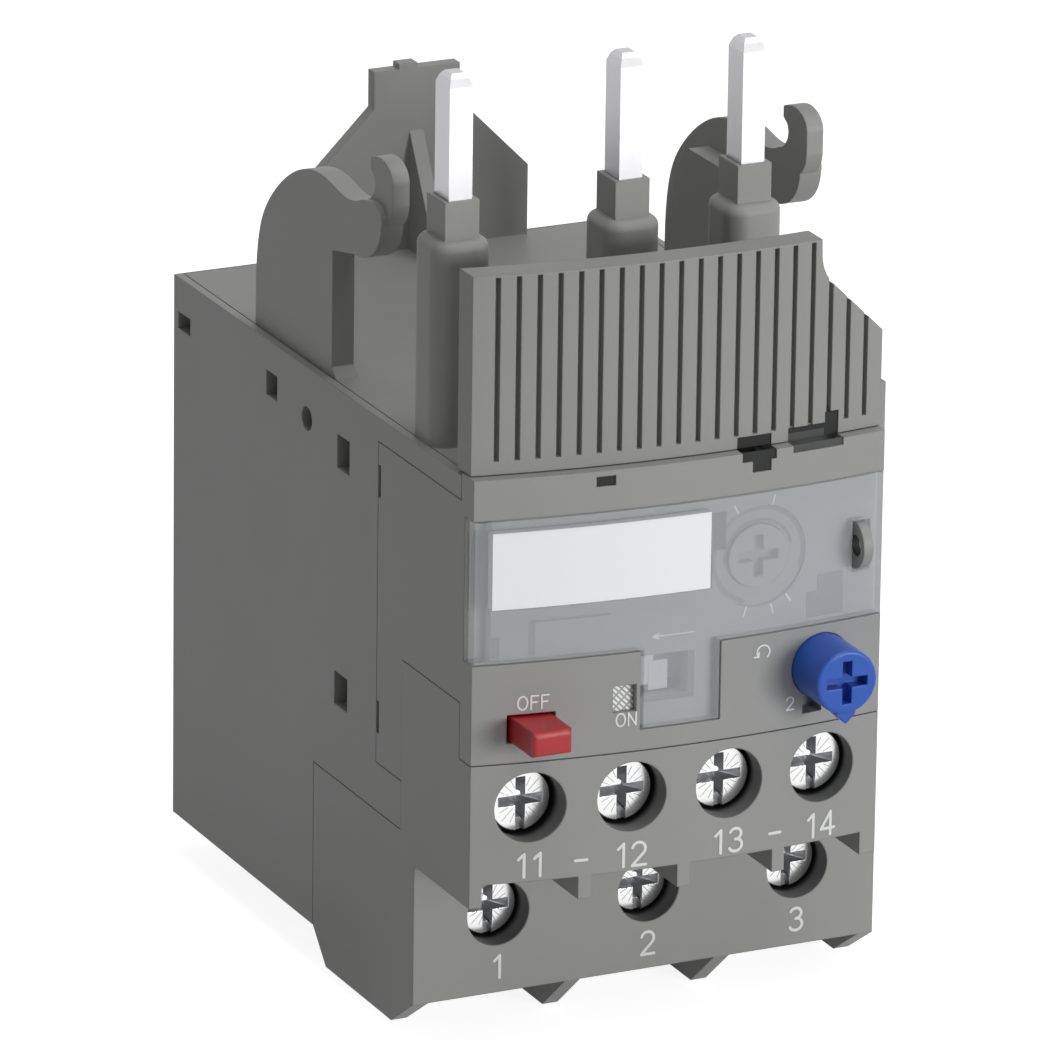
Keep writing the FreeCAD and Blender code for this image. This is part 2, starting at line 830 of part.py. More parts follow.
def sealing_lug():
    """The eye on the panel that passes through the closed clear cover."""
    root = panel_apex + 2.4
    tip = panel_y(lug_x) - lug_reach
    x0 = lug_x - lug_half
    low = Vec(x0, root, lug_z - 2.0)
    high = Vec(x0, root, lug_z + 2.0)
    rim = Part.Arc(low, Vec(x0, tip, lug_z), high).toShape()
    outline = Part.Wire([rim, Part.makeLine(high, low)])
    plate = Part.Face(outline).extrude(Vec(2 * lug_half, 0, 0))
    hole = Part.makeCylinder(0.95, 2, Vec(lug_x - 1, tip + 1.6, lug_z), AXIS_X)
    return [without(plate, [hole])]


def spring_post():
    """The post behind the panel that the test spring pushes against."""
    return box(
        2.6, 3.4, panel_apex + 2.8, slider_plate + 0.9, test_low + 1.0, test_high - 0.8
    )


def ribbed_blank():
    """Front outline of the grip cover, with its cut-down right shoulder."""
    right = panel_right + fit_gap
    y = rib_apex - 2
    corners = [
        (10.8, rib_slope_z + 5.1), (right, rib_slope_z), (right, rib_bottom),
        (rib_left, rib_bottom), (rib_left, rib_top), (9.75, rib_top),
        (9.8, rib_top - 1.6),
    ]
    points = [Vec(x, y, z) for x, z in corners]
    neck = Part.Arc(points[-1], Vec(10.07, y, rib_top - 2.8), points[0]).toShape()
    edges = [Part.makeLine(a, b) for a, b in zip(points, points[1:])]
    return Part.Face(Part.Wire(edges + [neck])).extrude(Vec(0, 10, 0))


def ribbed_cover():
    """Upright grip cover with grooves and two notches in its lower edge."""
    slab = curved_shell(
        rib_left - 1, panel_right + 1, rib_bottom - 1, rib_top + 1, rib_apex,
        rib_thickness,
    )
    cover = ribbed_blank().common(slab)
    cuts = []
    for k in range(groove_count):
        x = groove_first + k * groove_pitch
        y = panel_y(x, rib_apex)
        cuts.append(box(
            x - groove_width / 2, x + groove_width / 2, y - 1, y + groove_depth,
            groove_low, groove_high,
        ))
    far = rib_apex - 1
    back = rib_apex + 8
    cuts.append(box(1.8, 5.1, far, back, rib_bottom - 1, rib_bottom + 1.0))
    cuts.append(box(6.75, 11.75, far, back, rib_bottom - 1, rib_bottom + 1.15))
    cuts.append(box(10.4, 11.75, far, back, rib_bottom - 1, rib_bottom + 2.1))
    cover = without(cover, cuts)
    tongues = []
    for x in tongue_x:
        y = tongue_front(x)
        x0 = x - tongue_half
        x1 = x + tongue_half
        top = rib_bottom + 1.5
        tongues.append(box(x0, x1, y, y + tongue_thick, rib_bottom - tongue_reach, top))
        tongues.append(box(
            x0, x1, panel_y(x, rib_apex) + 1.5, y + tongue_thick, rib_bottom, top
        ))
    return joined([cover] + tongues)


def clear_cover():
    """Transparent flap over the dial, with a tongue that guards the test slide."""
    plate = curved_shell(
        clear_left, panel_right - 0.05, clear_bottom, clear_top, panel_apex,
        clear_thickness,
    )
    tongue = curved_shell(
        tongue_left, tongue_right, tongue_bottom, clear_bottom + 0.5, panel_apex,
        clear_thickness,
    )
    knuckle = rod_z(clear_hinge_x, clear_hinge_y, 0.7, clear_bottom, clear_top)
    pin = rod_z(
        clear_hinge_x, clear_hinge_y, clear_hinge_radius, clear_bottom - 0.8,
        clear_top + 0.8,
    )
    cover = joined([plate, tongue, knuckle, pin])
    far = panel_apex - 2
    window = box(label_left, label_right, far, panel_apex + 6, label_bottom, label_top)
    slot = box(
        lug_x - 2 * lug_half, lug_x + 2 * lug_half, far, panel_apex + 6, lug_z - 2.3,
        lug_z + 2.3,
    )
    return without(cover, [window, slot])


def label_plate():
    """Blank white marker held in the clear cover."""
    play = 0.05
    return curved_shell(
        label_left + play, label_right - play, label_bottom + play, label_top - play,
        panel_apex + 0.1, clear_thickness - 0.2,
    )


# ---- controls ------------------------------------------------------------------
def stop_button():
    """Push button that opens the normally closed contact."""
    body = box(
        stop_x - stop_width / 2, stop_x + stop_width / 2, stop_front, -58.0,
        stop_z - stop_height / 2, stop_z + stop_height / 2,
    )
    nose = [
        e for e in body.Edges
        if abs(e.CenterOfMass.y - stop_front) < 0.01
    ]
    body = body.makeFillet(0.35, nose)
    collar = box(
        stop_x - stop_width / 2 - 0.8, stop_x + stop_width / 2 + 0.8, -60.2, -59.2,
        stop_z - stop_height / 2, stop_z + stop_height / 2,
    )
    return joined([body, collar])


def leaf(points, thickness, z0, z1):
    """A bent flat spring: its line in (x, y), given a thickness and a height."""
    strips = []
    for (xa, ya), (xb, yb) in zip(points, points[1:]):
        length = math.hypot(xb - xa, yb - ya)
        nx = -(yb - ya) / length * thickness / 2
        ny = (xb - xa) / length * thickness / 2
        strips.append(flat_plate(
            [(xa + nx, ya + ny), (xb + nx, yb + ny), (xb - nx, yb - ny),
             (xa - nx, ya - ny)], z0, z1,
        ))
    for x, y in points[1:-1]:
        strips.append(rod_z(x, y, thickness / 2, z0, z1))
    return joined(strips)


def stop_spring():
    """Leaf spring that returns the stop button."""
    return leaf(
        [(stop_x - 1.5, -57.8), (stop_x + 1.4, -55.2), (stop_x - 1.5, frame_front - 0.2)],
        0.25, stop_z - 0.8, stop_z + 0.8,
    )


def test_slider():
    """Slide with the white tab that trips the relay for a test."""
    plate = box(
        test_left - 0.1, -1.0, slider_plate, slider_plate + 0.6, test_low + 0.2,
        test_high - 0.2,
    )
    tab = box(
        test_left + 0.1, test_left + test_tab, slider_front, slider_plate + 0.2,
        test_low + 0.7, test_high - 0.2,
    )
    return joined([plate, tab])


def test_spring():
    """Leaf spring that returns the test slide."""
    return leaf(
        [(-0.8, slider_plate + 0.3), (0.6, slider_plate + 2.4), (2.4, slider_plate + 0.3)],
        0.2, test_low + 1.2, test_high - 1.0,
    )


def reset_knob():
    """Blue knob: pushed to reset, turned to choose manual or automatic."""
    body = rod_y(knob_x, knob_z, knob_radius, knob_front, knob_back)
    rim = [e for e in body.Edges if abs(e.CenterOfMass.y - knob_front) < 0.01]
    body = body.makeFillet(0.3, rim)
    pointer = front_plate(
        [(knob_x - 0.9, knob_z - 2.4), (knob_x + 0.9, knob_z - 2.4),
         (knob_x + 0.9, knob_z - 2.9), (knob_x + 0.1, knob_z - 3.75),
         (knob_x - 0.1, knob_z - 3.75), (knob_x - 0.9, knob_z - 2.9)],
        knob_front + 0.1, knob_front + 1.7,
    )
    knob = joined([body, pointer])
    arm = 1.95
    cuts = [
        box(knob_x - arm, knob_x + arm, knob_front - 1, knob_front + 1.2,
            knob_z - 0.45, knob_z + 0.45),
        box(knob_x - 0.45, knob_x + 0.45, knob_front - 1, knob_front + 1.2,
            knob_z - arm, knob_z + arm),
        rod_y(knob_x, knob_z, rod_radius + running_gap, -64.2, knob_back + 1),
    ]
    return without(knob, cuts)


def reset_plunger():
    """Rod that carries the reset knob back to the trip mechanism."""
    return joined([
        rod_y(knob_x, knob_z, rod_radius, -64.0, -50.0),
        rod_y(knob_x, knob_z, 2.4, knob_back + 0.05, knob_back + 0.85),
    ])


def reset_spring():
    """Coil spring between the plunger's flange and the mechanism frame."""
    start = knob_back + 1.15
    height = frame_front - 0.35 - start
    turns = 4
    helix = Part.makeHelix(height / turns, height, 1.9)
    corners = [(1.65, -0.25), (2.15, -0.25), (2.15, 0.25), (1.65, 0.25), (1.65, -0.25)]
    section = Part.makePolygon([Vec(x, 0, z) for x, z in corners])
    coil = Part.Wire(helix).makePipeShell([section], True, True)
    coil.rotate(Vec(0, 0, 0), AXIS_X, -90)
    coil.translate(Vec(knob_x, start, knob_z))
    return coil


def setting_dial():
    """Current setting dial with a spiral cam on its inner end."""
    face = panel_apex + clear_thickness + clear_gap + 0.1
    head = rod_y(dial_x, dial_z, dial_radius, face, -62.0)
    cross = [
        box(dial_x - 1.9, dial_x + 1.9, face - 1, face + 0.8, dial_z - 0.45, dial_z + 0.45),
        box(dial_x - 0.45, dial_x + 0.45, face - 1, face + 0.8, dial_z - 1.9, dial_z + 1.9),
    ]
    dial = joined([
        without(head, cross),
        rod_y(dial_x, dial_z, 1.5, -62.1, -56.5),
        spiral_cam(),
        rod_y(dial_x, dial_z, 1.0, -55.0, -51.0),
    ])
    return dial


def spiral_cam():
    """A cam whose radius grows evenly with the turn, in a closed spline outline."""
    steps = 12
    points = []
    for k in range(steps + 1):
        turn = dial_turn * k / steps
        angle = math.radians(90 + turn)
        radius = cam_low + cam_lift * turn / dial_turn
        points.append(Vec(
            dial_x + radius * math.cos(angle), -56.5, dial_z + radius * math.sin(angle)
        ))
    curve = Part.BSplineCurve()
    curve.interpolate(points)
    closing = Part.LineSegment(points[-1], points[0]).toShape()
    wire = Part.Wire([curve.toShape(), closing])
    return Part.Face(wire).extrude(Vec(0, 1.6, 0))


# ---- trip mechanism ------------------------------------------------------------
def setting_lever():
    """Lever that the cam lifts to shift the trip point."""
    x = setting_pin_x
    z = setting_pin_z
    bar = box(x, dial_x + 2.3, -56.4, -55.0, dial_z + cam_low + 0.23, z + 0.8)
    hub = rod_y(x, z, 1.5, -56.4, -55.0)
    return without(joined([bar, hub]), [rod_y(x, z, 0.8 + running_gap, -58, -54)])


def mechanism_frame():
    """Moulded plate that carries the pivots behind the front cover."""
    plate = box(
        left_side + 2.1, panel_right - 2.4, frame_front, frame_back, frame_low,
        frame_high,
    )
    post_top = top_low - fit_gap
    posts = [
        box(x - 2.0, x + 2.0, frame_front, frame_back, frame_high - 0.6, post_top)
        for x in (-11.2, 3.4)
    ]
    pins = [
        rod_y(lever_x, lever_z, 0.8, -54.6, frame_front + 0.5),
        rod_y(setting_pin_x, setting_pin_z, 0.8, -56.7, frame_front + 0.5),
    ]
    cuts = [
        rod_y(dial_x, dial_z, 1.0 + running_gap, -53, -50),
        rod_y(knob_x, knob_z, rod_radius + running_gap, -53, -50),
        box(lever_x - 2.0, lever_x + 0.9, -53, -50, lever_z + 2.5, lever_z + 4.4),
    ]
    for x in (nc_finger_x, no_finger_x):
        cuts.append(box(x - 1.9, x + 0.8, -53, -50, carrier_low - 0.3, carrier_low + 1.3))
    return without(joined([plate] + posts + pins), cuts)


def trip_lever():
    """Rocker that carries the carrier's stroke to the status flag."""
    y0 = -54.3
    y1 = -52.9
    plate = joined([
        rod_y(lever_x, lever_z, 1.5, y0, y1),
        box(lever_x - 0.8, lever_x + 0.8, y0, y1, lever_z, lever_z + lever_up + 0.8),
        box(lever_x - lever_left - 0.8, lever_x, y0, y1, lever_z - 0.8, lever_z + 0.8),
        rod_y(lever_x, lever_z + lever_up, 0.5, y0, carrier_back - 0.2),
        rod_y(lever_x - lever_left, lever_z, 0.5, flag_back + 0.05, y1),
    ])
    return without(plate, [rod_y(lever_x, lever_z, 0.8 + running_gap, y0 - 1, y1 + 1)])


def status_flag():
    """Flag behind the small window that shows on or tripped."""
    x = lever_x - lever_left
    back = flag_back + flag_thickness
    low = flag_low - fit_gap
    shoulder = flag_high + flag_drop + fit_gap
    face = box(flag_left - 0.1, flag_right + 0.05, flag_front, back, low, shoulder)
    stem = box(
        flag_left - 0.15, flag_right + 0.5, flag_back, back, shoulder - 1, lever_z + 1.4
    )
    slot = box(x - 0.6, x + 1.05, flag_front, back + 1, lever_z - 0.62, lever_z + 0.62)
    return without(joined([face, stem]), [slot])


def bimetal(x):
    """Bimetal strip, clamped at its foot and free at its top."""
    half = bimetal_thickness / 2
    strip = box(
        x - half, x + half, bimetal_y - bimetal_width / 2, bimetal_y + bimetal_width / 2,
        bimetal_root, bimetal_top,
    )
    return strip


def heater(x):
    """Insulating sleeve with the heater ribbon wound round it."""
    half_x = bimetal_thickness / 2
    half_y = bimetal_width / 2
    low = bimetal_root + 3.6
    high = bimetal_top - 6.6
    turns = 7
    pitch = (high - low - 1.3) / turns
    pieces = [box(
        x - half_x - 0.7, x + half_x + 0.7, bimetal_y - half_y - 0.7,
        bimetal_y + half_y + 0.7, low, high,
    )]
    for k in range(turns):
        z = low + 0.8 + k * pitch
        pieces.append(box(
            x - half_x - 1.2, x + half_x + 1.2, bimetal_y - half_y - 1.2,
            bimetal_y + half_y + 1.2, z, z + 1.5,
        ))
    opening = box(
        x - half_x - 0.1, x + half_x + 0.1, bimetal_y - half_y - 0.1,
        bimetal_y + half_y + 0.1, low - 1, high + 1,
    )
    return without(joined(pieces), [opening])


def trip_slide():
    """Slide across the three poles, pushed by whichever bimetal bends."""
    bar = joined([
        box(left_side + 3.9, strip_x - 1.8, -25.0, -15.2, slide_low, slide_high),
        box(
            strip_x - 2, strip_x - fit_gap, bimetal_y - 0.8, bimetal_y + 0.8,
            slide_low, slide_high,
        ),
    ])
    half_x = bimetal_thickness / 2 + slide_gap
    half_y = bimetal_width / 2 + 0.3
    cuts = [
        box(x - half_x, x + half_x, bimetal_y - half_y, bimetal_y + half_y,
            slide_low - 1, slide_high + 1)
        for x in pole_x
    ]
    for k in range(2):
        middle = pole_x[k] + pole_pitch / 2
        cuts.append(box(middle - 4, middle + 4, -22.5, -17.5, slide_low - 1, slide_high + 1))
    return without(bar, cuts)


def compensation_strip():
    """Strip that corrects for ambient heat and passes the stroke forward."""
    low = slide_low - 1.0
    high = slide_high + 1.0
    blade = box(
        strip_x, strip_x + 0.6, strip_pivot_y - strip_arm - 0.3,
        strip_pivot_y + strip_arm + 0.3, low, high,
    )
    hub = rod_z(strip_x + 0.3, strip_pivot_y, 1.5, low - 1, high + 1)
    bore = rod_z(strip_x + 0.3, strip_pivot_y, 0.8 + running_gap, low - 2, high + 2)
    return without(joined([blade, hub]), [bore])


def pivot_pin():
    """Steel pin that the compensation strip turns on."""
    return rod_z(strip_x + 0.3, strip_pivot_y, 0.8, slide_low - 6.9, top_low - fit_gap)


def contact_carrier():
    """Slide that moves both auxiliary contacts at once."""
    plate = box(
        nc_blade_x - 2.75, strip_x - 0.25, carrier_front, carrier_back, carrier_low,
        carrier_high,
    )
    fork = box(
        lever_x - 0.6, lever_x + 0.6, carrier_front - 1, carrier_back + 1,
        lever_z + lever_up - 0.8, carrier_high + 1,
    )
    openings = [
        box(x, x + 6, carrier_front - 1, carrier_back + 1, carrier_low + 1.8,
            carrier_high - 1.7)
        for x in (nc_blade_x + 2.25, no_blade_x + 3.25)
    ]
    fingers = [
        box(
            x - finger_width / 2, x + finger_width / 2, -57.4, carrier_front + 0.2,
            carrier_low, carrier_low + 1.0,
        )
        for x in (nc_finger_x, no_finger_x)
    ]
    return joined([without(plate, [fork] + openings)] + fingers)


def contact_blade(x, side):
    """Spring blade with its contact rivet on one side."""
    head = -57.3
    half = blade_thickness / 2
    blade = box(x - half, x + half, head, head + 2.0, blade_low, blade_high)
    rivet = Part.makeCylinder(
        0.9, 0.6, Vec(x + side * 0.1, head + 1.0, contact_z), Vec(side, 0, 0)
    )
    return joined([blade, rivet])


def aux_bar(k):
    """Terminal bar of one auxiliary terminal, with its fixed contact or riser."""
    kind = aux_terminal
    x = aux_x[k]
    front = aux_head(x) + kind.bar_front
    back = front + kind.bar
    low = aux_z + kind.cage_low + 0.2
    foot = aux_top + 0.2
    knee = aux_top + 1.6
    pieces = [box(x - kind.half_bar, x + kind.half_bar, front, back, low, knee)]
    riser_top = blade_low + 0.6
    low = contact_z - 1.0
    high = contact_z + 1.0
    if k == 0:
        riser = nc_blade_x - blade_thickness / 2 - fit_gap
        pieces.append(box(x, riser, front, back, foot, knee))
        pieces.append(box(riser - 1.0, riser, front - 0.9, back + 0.4, foot, riser_top))
    if k == 1:
        rivet = nc_blade_x + 0.7 + fit_gap
        pieces.append(box(x - kind.half_bar, x + kind.half_bar, front, back, foot, high))
        pieces.append(box(rivet + 0.5, x, front, back, low, high))
        pieces.append(box(rivet + 0.3, rivet + 0.9, front - 0.4, back + 0.8, low, high))
        pieces.append(Part.makeCylinder(0.9, 0.6, Vec(rivet, -56.3, contact_z), AXIS_X))
    if k == 2:
        rivet = no_blade_x - 0.7 - contact_gap - 0.6
        pieces.append(box(x - kind.half_bar, x + kind.half_bar, front, back, foot, high))
        pieces.append(box(x, rivet + 0.1, front, back, low, high))
        pieces.append(box(rivet - 0.3, rivet + 0.3, front - 0.1, back + 1.2, low, high))
        pieces.append(Part.makeCylinder(0.9, 0.6, Vec(rivet, -56.3, contact_z), AXIS_X))
    if k == 3:
        riser = no_blade_x + blade_thickness / 2 + fit_gap / 2
        pieces.append(box(riser, x, front, back, foot, knee))
        pieces.append(box(riser, riser + 0.7, front - 0.1, back + 1.0, foot, riser_top))
    return joined(pieces)


def stab_ring(x, inset_x, inset_y, z):
    """The stab's outline at height z, drawn in by the two insets."""
    half_x = stab_width / 2 - inset_x
    half_y = stab_depth / 2 - inset_y
    points = [
        Vec(x + a * half_x, stab_y + b * half_y, z)
        for a, b in [(-1, -1), (1, -1), (1, 1), (-1, 1)]
    ]
    return Part.makePolygon(points + [points[0]])


def stab(k):
    """Flat contact stab with its strap back to the pole's heater."""
    x = stab_x[k]
    half_x = stab_width / 2
    half_y = stab_depth / 2
    strap_low = top_low - 3.7
    taper_low = stab_top - stab_taper
    shank = box(x - half_x, x + half_x, stab_y - half_y, stab_y + half_y, strap_low, taper_low)
    tip = Part.makeLoft([
        stab_ring(x, 0, 0, taper_low),
        stab_ring(x, stab_inset_x * 0.45, stab_inset_y * 0.45, stab_top - stab_taper * 0.35),
        stab_ring(x, stab_inset_x, stab_inset_y, stab_top),
    ], True, True)
    pole = pole_x[k]
    strap = flat_plate(
        [(x - half_x, stab_y), (x + half_x, stab_y), (pole + 1.6, -30.0),
         (pole + 1.6, -16.5), (pole - 1.6, -16.5), (pole - 1.6, -30.0)],
        strap_low, strap_low + 1.1,
    )
    return joined([shank, tip, strap])


def build():
    """Makes every node of the relay."""
    os.makedirs("parts", exist_ok=True)
    save("main_housing", main_housing())
    save("top_carrier", top_carrier())
    save("terminal_housing", terminal_housing())
    save("front_cover", front_cover())
    save("ribbed_cover", ribbed_cover())
    save("clear_cover", clear_cover())
    save("label_plate", label_plate())
    save("mechanism_frame", mechanism_frame())
    save("stop_button", stop_button())
    save("stop_spring", stop_spring())
    save("test_slider", test_slider())
    save("test_spring", test_spring())
    save("reset_knob", reset_knob())
    save("reset_plunger", reset_plunger())
    save("reset_spring", reset_spring())
    save("setting_dial", setting_dial())
    save("setting_lever", setting_lever())
    save("trip_slide", trip_slide())
    save("trip_lever", trip_lever())
    save("status_flag", status_flag())
    save("compensation_strip", compensation_strip())
    save("pivot_pin", pivot_pin())
    save("contact_carrier", contact_carrier())
    save("nc_contact_blade", contact_blade(nc_blade_x, 1))
    save("no_contact_blade", contact_blade(no_blade_x, -1))
    for k, x in enumerate(pole_x):
        number = str(k + 1)
        save("contact_stab_" + number, stab(k))
        save("bimetal_" + number, bimetal(x))
        save("heater_" + number, heater(x))
        save("main_bar_" + number, main_bar(x))
        save("main_screw_" + number, terminal_screw(main_terminal, x, main_z, main_head))
        save("main_clamp_" + number, terminal_clamp(main_terminal, x, main_z, main_head))
    for k, x in enumerate(aux_x):
        number = str(k + 1)
        head = aux_head(x)
        save("aux_bar_" + number, aux_bar(k))
        save("aux_screw_" + number, terminal_screw(aux_terminal, x, aux_z, head))
        save("aux_clamp_" + number, terminal_clamp(aux_terminal, x, aux_z, head))


build()
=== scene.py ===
import json
import math

import bmesh
import bpy
from mathutils import Matrix, Vector


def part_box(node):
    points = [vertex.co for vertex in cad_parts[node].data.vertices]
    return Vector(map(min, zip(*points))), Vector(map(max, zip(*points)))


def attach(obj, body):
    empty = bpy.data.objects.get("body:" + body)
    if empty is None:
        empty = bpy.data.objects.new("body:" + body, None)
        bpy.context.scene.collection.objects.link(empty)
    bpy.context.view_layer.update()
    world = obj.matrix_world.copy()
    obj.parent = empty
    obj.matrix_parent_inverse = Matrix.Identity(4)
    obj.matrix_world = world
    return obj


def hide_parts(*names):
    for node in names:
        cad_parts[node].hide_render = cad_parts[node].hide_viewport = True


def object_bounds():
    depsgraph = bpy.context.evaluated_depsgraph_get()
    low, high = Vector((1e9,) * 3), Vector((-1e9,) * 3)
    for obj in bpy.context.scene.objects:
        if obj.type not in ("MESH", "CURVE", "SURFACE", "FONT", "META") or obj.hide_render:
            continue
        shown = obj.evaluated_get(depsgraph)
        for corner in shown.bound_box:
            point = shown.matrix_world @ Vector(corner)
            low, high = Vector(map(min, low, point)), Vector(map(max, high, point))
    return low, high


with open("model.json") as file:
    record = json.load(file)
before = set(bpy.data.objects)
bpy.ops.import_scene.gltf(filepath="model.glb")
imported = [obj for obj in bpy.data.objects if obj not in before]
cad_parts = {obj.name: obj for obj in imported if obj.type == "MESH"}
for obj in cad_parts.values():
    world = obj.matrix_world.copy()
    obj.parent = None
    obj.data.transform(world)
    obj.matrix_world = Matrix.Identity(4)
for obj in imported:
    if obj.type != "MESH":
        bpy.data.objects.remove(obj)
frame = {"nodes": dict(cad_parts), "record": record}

cad_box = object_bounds()

# Everything is in metres, in the CAD part's own frame: -Y is the operating front, +Z is up.
MM = 0.001

# ---- sizes taken from the frame --------------------------------------------------
panel_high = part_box("front_cover")[1]
object_low = Vector(cad_box[0])
object_high = Vector(cad_box[1])

# ---- the panel's curve, as the moulding is drawn ------------------------------------
PANEL_RADIUS = 112.5 * MM
PANEL_APEX_X = 0.4 * MM
PANEL_APEX_Y = -66.2 * MM
TERMINAL_FACE_Y = -52.6 * MM
RECESS_APEX_Y = -64.95 * MM   # foremost line of the bed under the clear flap
RIB_APEX_Y = -65.1 * MM       # foremost line of the grip cover
INK = 0.03 * MM               # how far printing stands off the surface it is on

AUX_WELL_RADIUS = 3.2 * MM
MAIN_WELL_RADIUS = 3.0 * MM
POLE_X = [(0.25 + 14.6 * (k - 1)) * MM for k in range(3)]
AUX_X = [x * MM for x in (-17.2, -8.033, 1.133, 10.3)]


def panel_y(x, apex=PANEL_APEX_Y):
    """y of the curved panel face at x."""
    side = x - PANEL_APEX_X
    return apex + PANEL_RADIUS - math.sqrt(PANEL_RADIUS ** 2 - side ** 2)


def bed_y(x):
    """y of the bed under the clear flap at x."""
    return panel_y(x, RECESS_APEX_Y)


def flat_terminal(_):
    """y of the main terminal face, which is flat and so the same at any x."""
    return TERMINAL_FACE_Y


# ---- colour and material helpers ---------------------------------------------------
def linear(code):
    """An sRGB hex value as a linear RGBA colour."""
    channels = [int(code[i:i + 2], 16) / 255 for i in (1, 3, 5)]
    values = [
        c / 12.92 if c <= 0.04045 else ((c + 0.055) / 1.055) ** 2.4 for c in channels
    ]
    return (*values, 1.0)


def add(tree, kind, settings=None, values=None, links=None):
    """A node with its settings, its socket values and its incoming links."""
    node = tree.nodes.new(kind)
    for key, value in (settings or {}).items():
        setattr(node, key, value)
    for key, value in (values or {}).items():
        node.inputs[key].default_value = value
    for key, source in (links or {}).items():
        tree.links.new(source, node.inputs[key])
    return node


def material(name):
    """An empty node material with its tree."""
    made = bpy.data.materials.new(name)
    made.use_nodes = True
    made.node_tree.nodes.clear()
    return made, made.node_tree


def finish_surface(tree, shader):
    """Joins a shader to the material's output."""
    add(tree, "ShaderNodeOutputMaterial", links={"Surface": shader.outputs[0]})


def colour_mix(tree, factor, first, second):
    """A mix of two linear colours: the first where the factor is 0, the second where it is 1."""
    mix = add(tree, "ShaderNodeMix", {"data_type": "RGBA"}, links={0: factor})
    mix.inputs[6].default_value = first
    mix.inputs[7].default_value = second
    return mix.outputs[2]


def moulded_plastic(name, colour, roughness, grain, depth, edge, vary=0.06, sheen=0.35):
    """Injection-moulded plastic: spark-eroded grain, softly rounded edges, slight cloudiness."""
    made, tree = material(name)
    place = add(tree, "ShaderNodeTexCoord").outputs["Object"]
    cloud = add(
        tree, "ShaderNodeTexNoise", values={"Scale": 60.0, "Detail": 3.0},
        links={"Vector": place},
    )
    base = linear(colour)[:3]
    tone = colour_mix(
        tree, cloud.outputs["Fac"], tuple(c * (1 - vary) for c in base) + (1.0,),
        tuple(min(1, c * (1 + vary)) for c in base) + (1.0,),
    )
    grains = add(
        tree, "ShaderNodeTexNoise",
        values={"Scale": 1 / (grain * MM), "Detail": 2.0, "Roughness": 0.6},
        links={"Vector": place},
    )
    polish = add(
        tree, "ShaderNodeMapRange",
        values={"To Min": roughness - 0.05, "To Max": roughness + 0.07},
        links={"Value": grains.outputs["Fac"]},
    )
    rounding = add(tree, "ShaderNodeBevel", {"samples": 4}, {"Radius": edge * MM})
    bump = add(
        tree, "ShaderNodeBump", values={"Strength": depth, "Distance": 0.02 * MM},
        links={"Height": grains.outputs["Fac"], "Normal": rounding.outputs["Normal"]},
    )
    shader = add(
        tree, "ShaderNodeBsdfPrincipled", values={"IOR": 1.5, "Specular IOR Level": sheen},
        links={
            "Base Color": tone, "Roughness": polish.outputs[0],
            "Normal": bump.outputs["Normal"],
        },
    )
    finish_surface(tree, shader)
    return made


def plated_metal(name, colour, roughness, line_spacing, depth, stretch):
    """Bright metal with the fine drawn or turned lines left by its making."""
    made, tree = material(name)
    place = add(tree, "ShaderNodeTexCoord").outputs["Object"]
    turn = add(
        tree, "ShaderNodeMapping", values={"Scale": stretch}, links={"Vector": place}
    )
    lines = add(
        tree, "ShaderNodeTexNoise",
        values={"Scale": 1 / (line_spacing * MM), "Detail": 3.0},
        links={"Vector": turn.outputs[0]},
    )
    polish = add(
        tree, "ShaderNodeMapRange",
        values={"To Min": roughness - 0.06, "To Max": roughness + 0.1},
        links={"Value": lines.outputs["Fac"]},
    )
    bump = add(
        tree, "ShaderNodeBump", values={"Strength": depth, "Distance": 0.01 * MM},
        links={"Height": lines.outputs["Fac"]},
    )
    shader = add(
        tree, "ShaderNodeBsdfPrincipled",
        values={"Base Color": linear(colour), "Metallic": 1.0},
        links={"Roughness": polish.outputs[0], "Normal": bump.outputs["Normal"]},
    )
    finish_surface(tree, shader)
    return made


def recess_shaded_metal(name, bright, recess_shade_colour, roughness):
    """Bright plated face; a "recess" attribute paints shade into the recess and onto the radial
    marks: a darker, less metallic grey.
    """
    made, tree = material(name)
    place = add(tree, "ShaderNodeTexCoord").outputs["Object"]
    shade_and_marks = add(tree, "ShaderNodeAttribute", {"attribute_name": "recess"})
    tone = colour_mix(tree, shade_and_marks.outputs["Fac"], linear(bright), linear(recess_shade_colour))
    gleam = add(
        tree, "ShaderNodeMath", {"operation": "MULTIPLY_ADD"}, {1: -0.45, 2: 1.0},
        {0: shade_and_marks.outputs["Fac"]},
    )
    lines = add(
        tree, "ShaderNodeTexNoise", values={"Scale": 1 / (0.3 * MM), "Detail": 3.0},
        links={"Vector": place},
    )
    bump = add(
        tree, "ShaderNodeBump", values={"Strength": 0.15, "Distance": 0.01 * MM},
        links={"Height": lines.outputs["Fac"]},
    )
    shader = add(
        tree, "ShaderNodeBsdfPrincipled", values={"Roughness": roughness},
        links={
            "Base Color": tone, "Normal": bump.outputs["Normal"],
            "Metallic": gleam.outputs[0],
        },
    )
    finish_surface(tree, shader)
    return made


def painted_well_shade(name, mouth, depth):
    """Painted shade down a well: grey at the mouth, near black below, by a "depth" attribute."""
    made, tree = material(name)
    deep = add(tree, "ShaderNodeAttribute", {"attribute_name": "depth"})
    fall = add(
        tree, "ShaderNodeMapRange", {"interpolation_type": "SMOOTHSTEP"},
        {"From Min": 0.3, "From Max": 0.6}, {"Value": deep.outputs["Fac"]},
    )
    tone = colour_mix(tree, fall.outputs[0], linear(mouth), linear(depth))
    shader = add(
        tree, "ShaderNodeBsdfPrincipled",
        values={"Roughness": 0.7, "Specular IOR Level": 0.2, "IOR": 1.5},
        links={"Base Color": tone},
    )
    finish_surface(tree, shader)
    return made


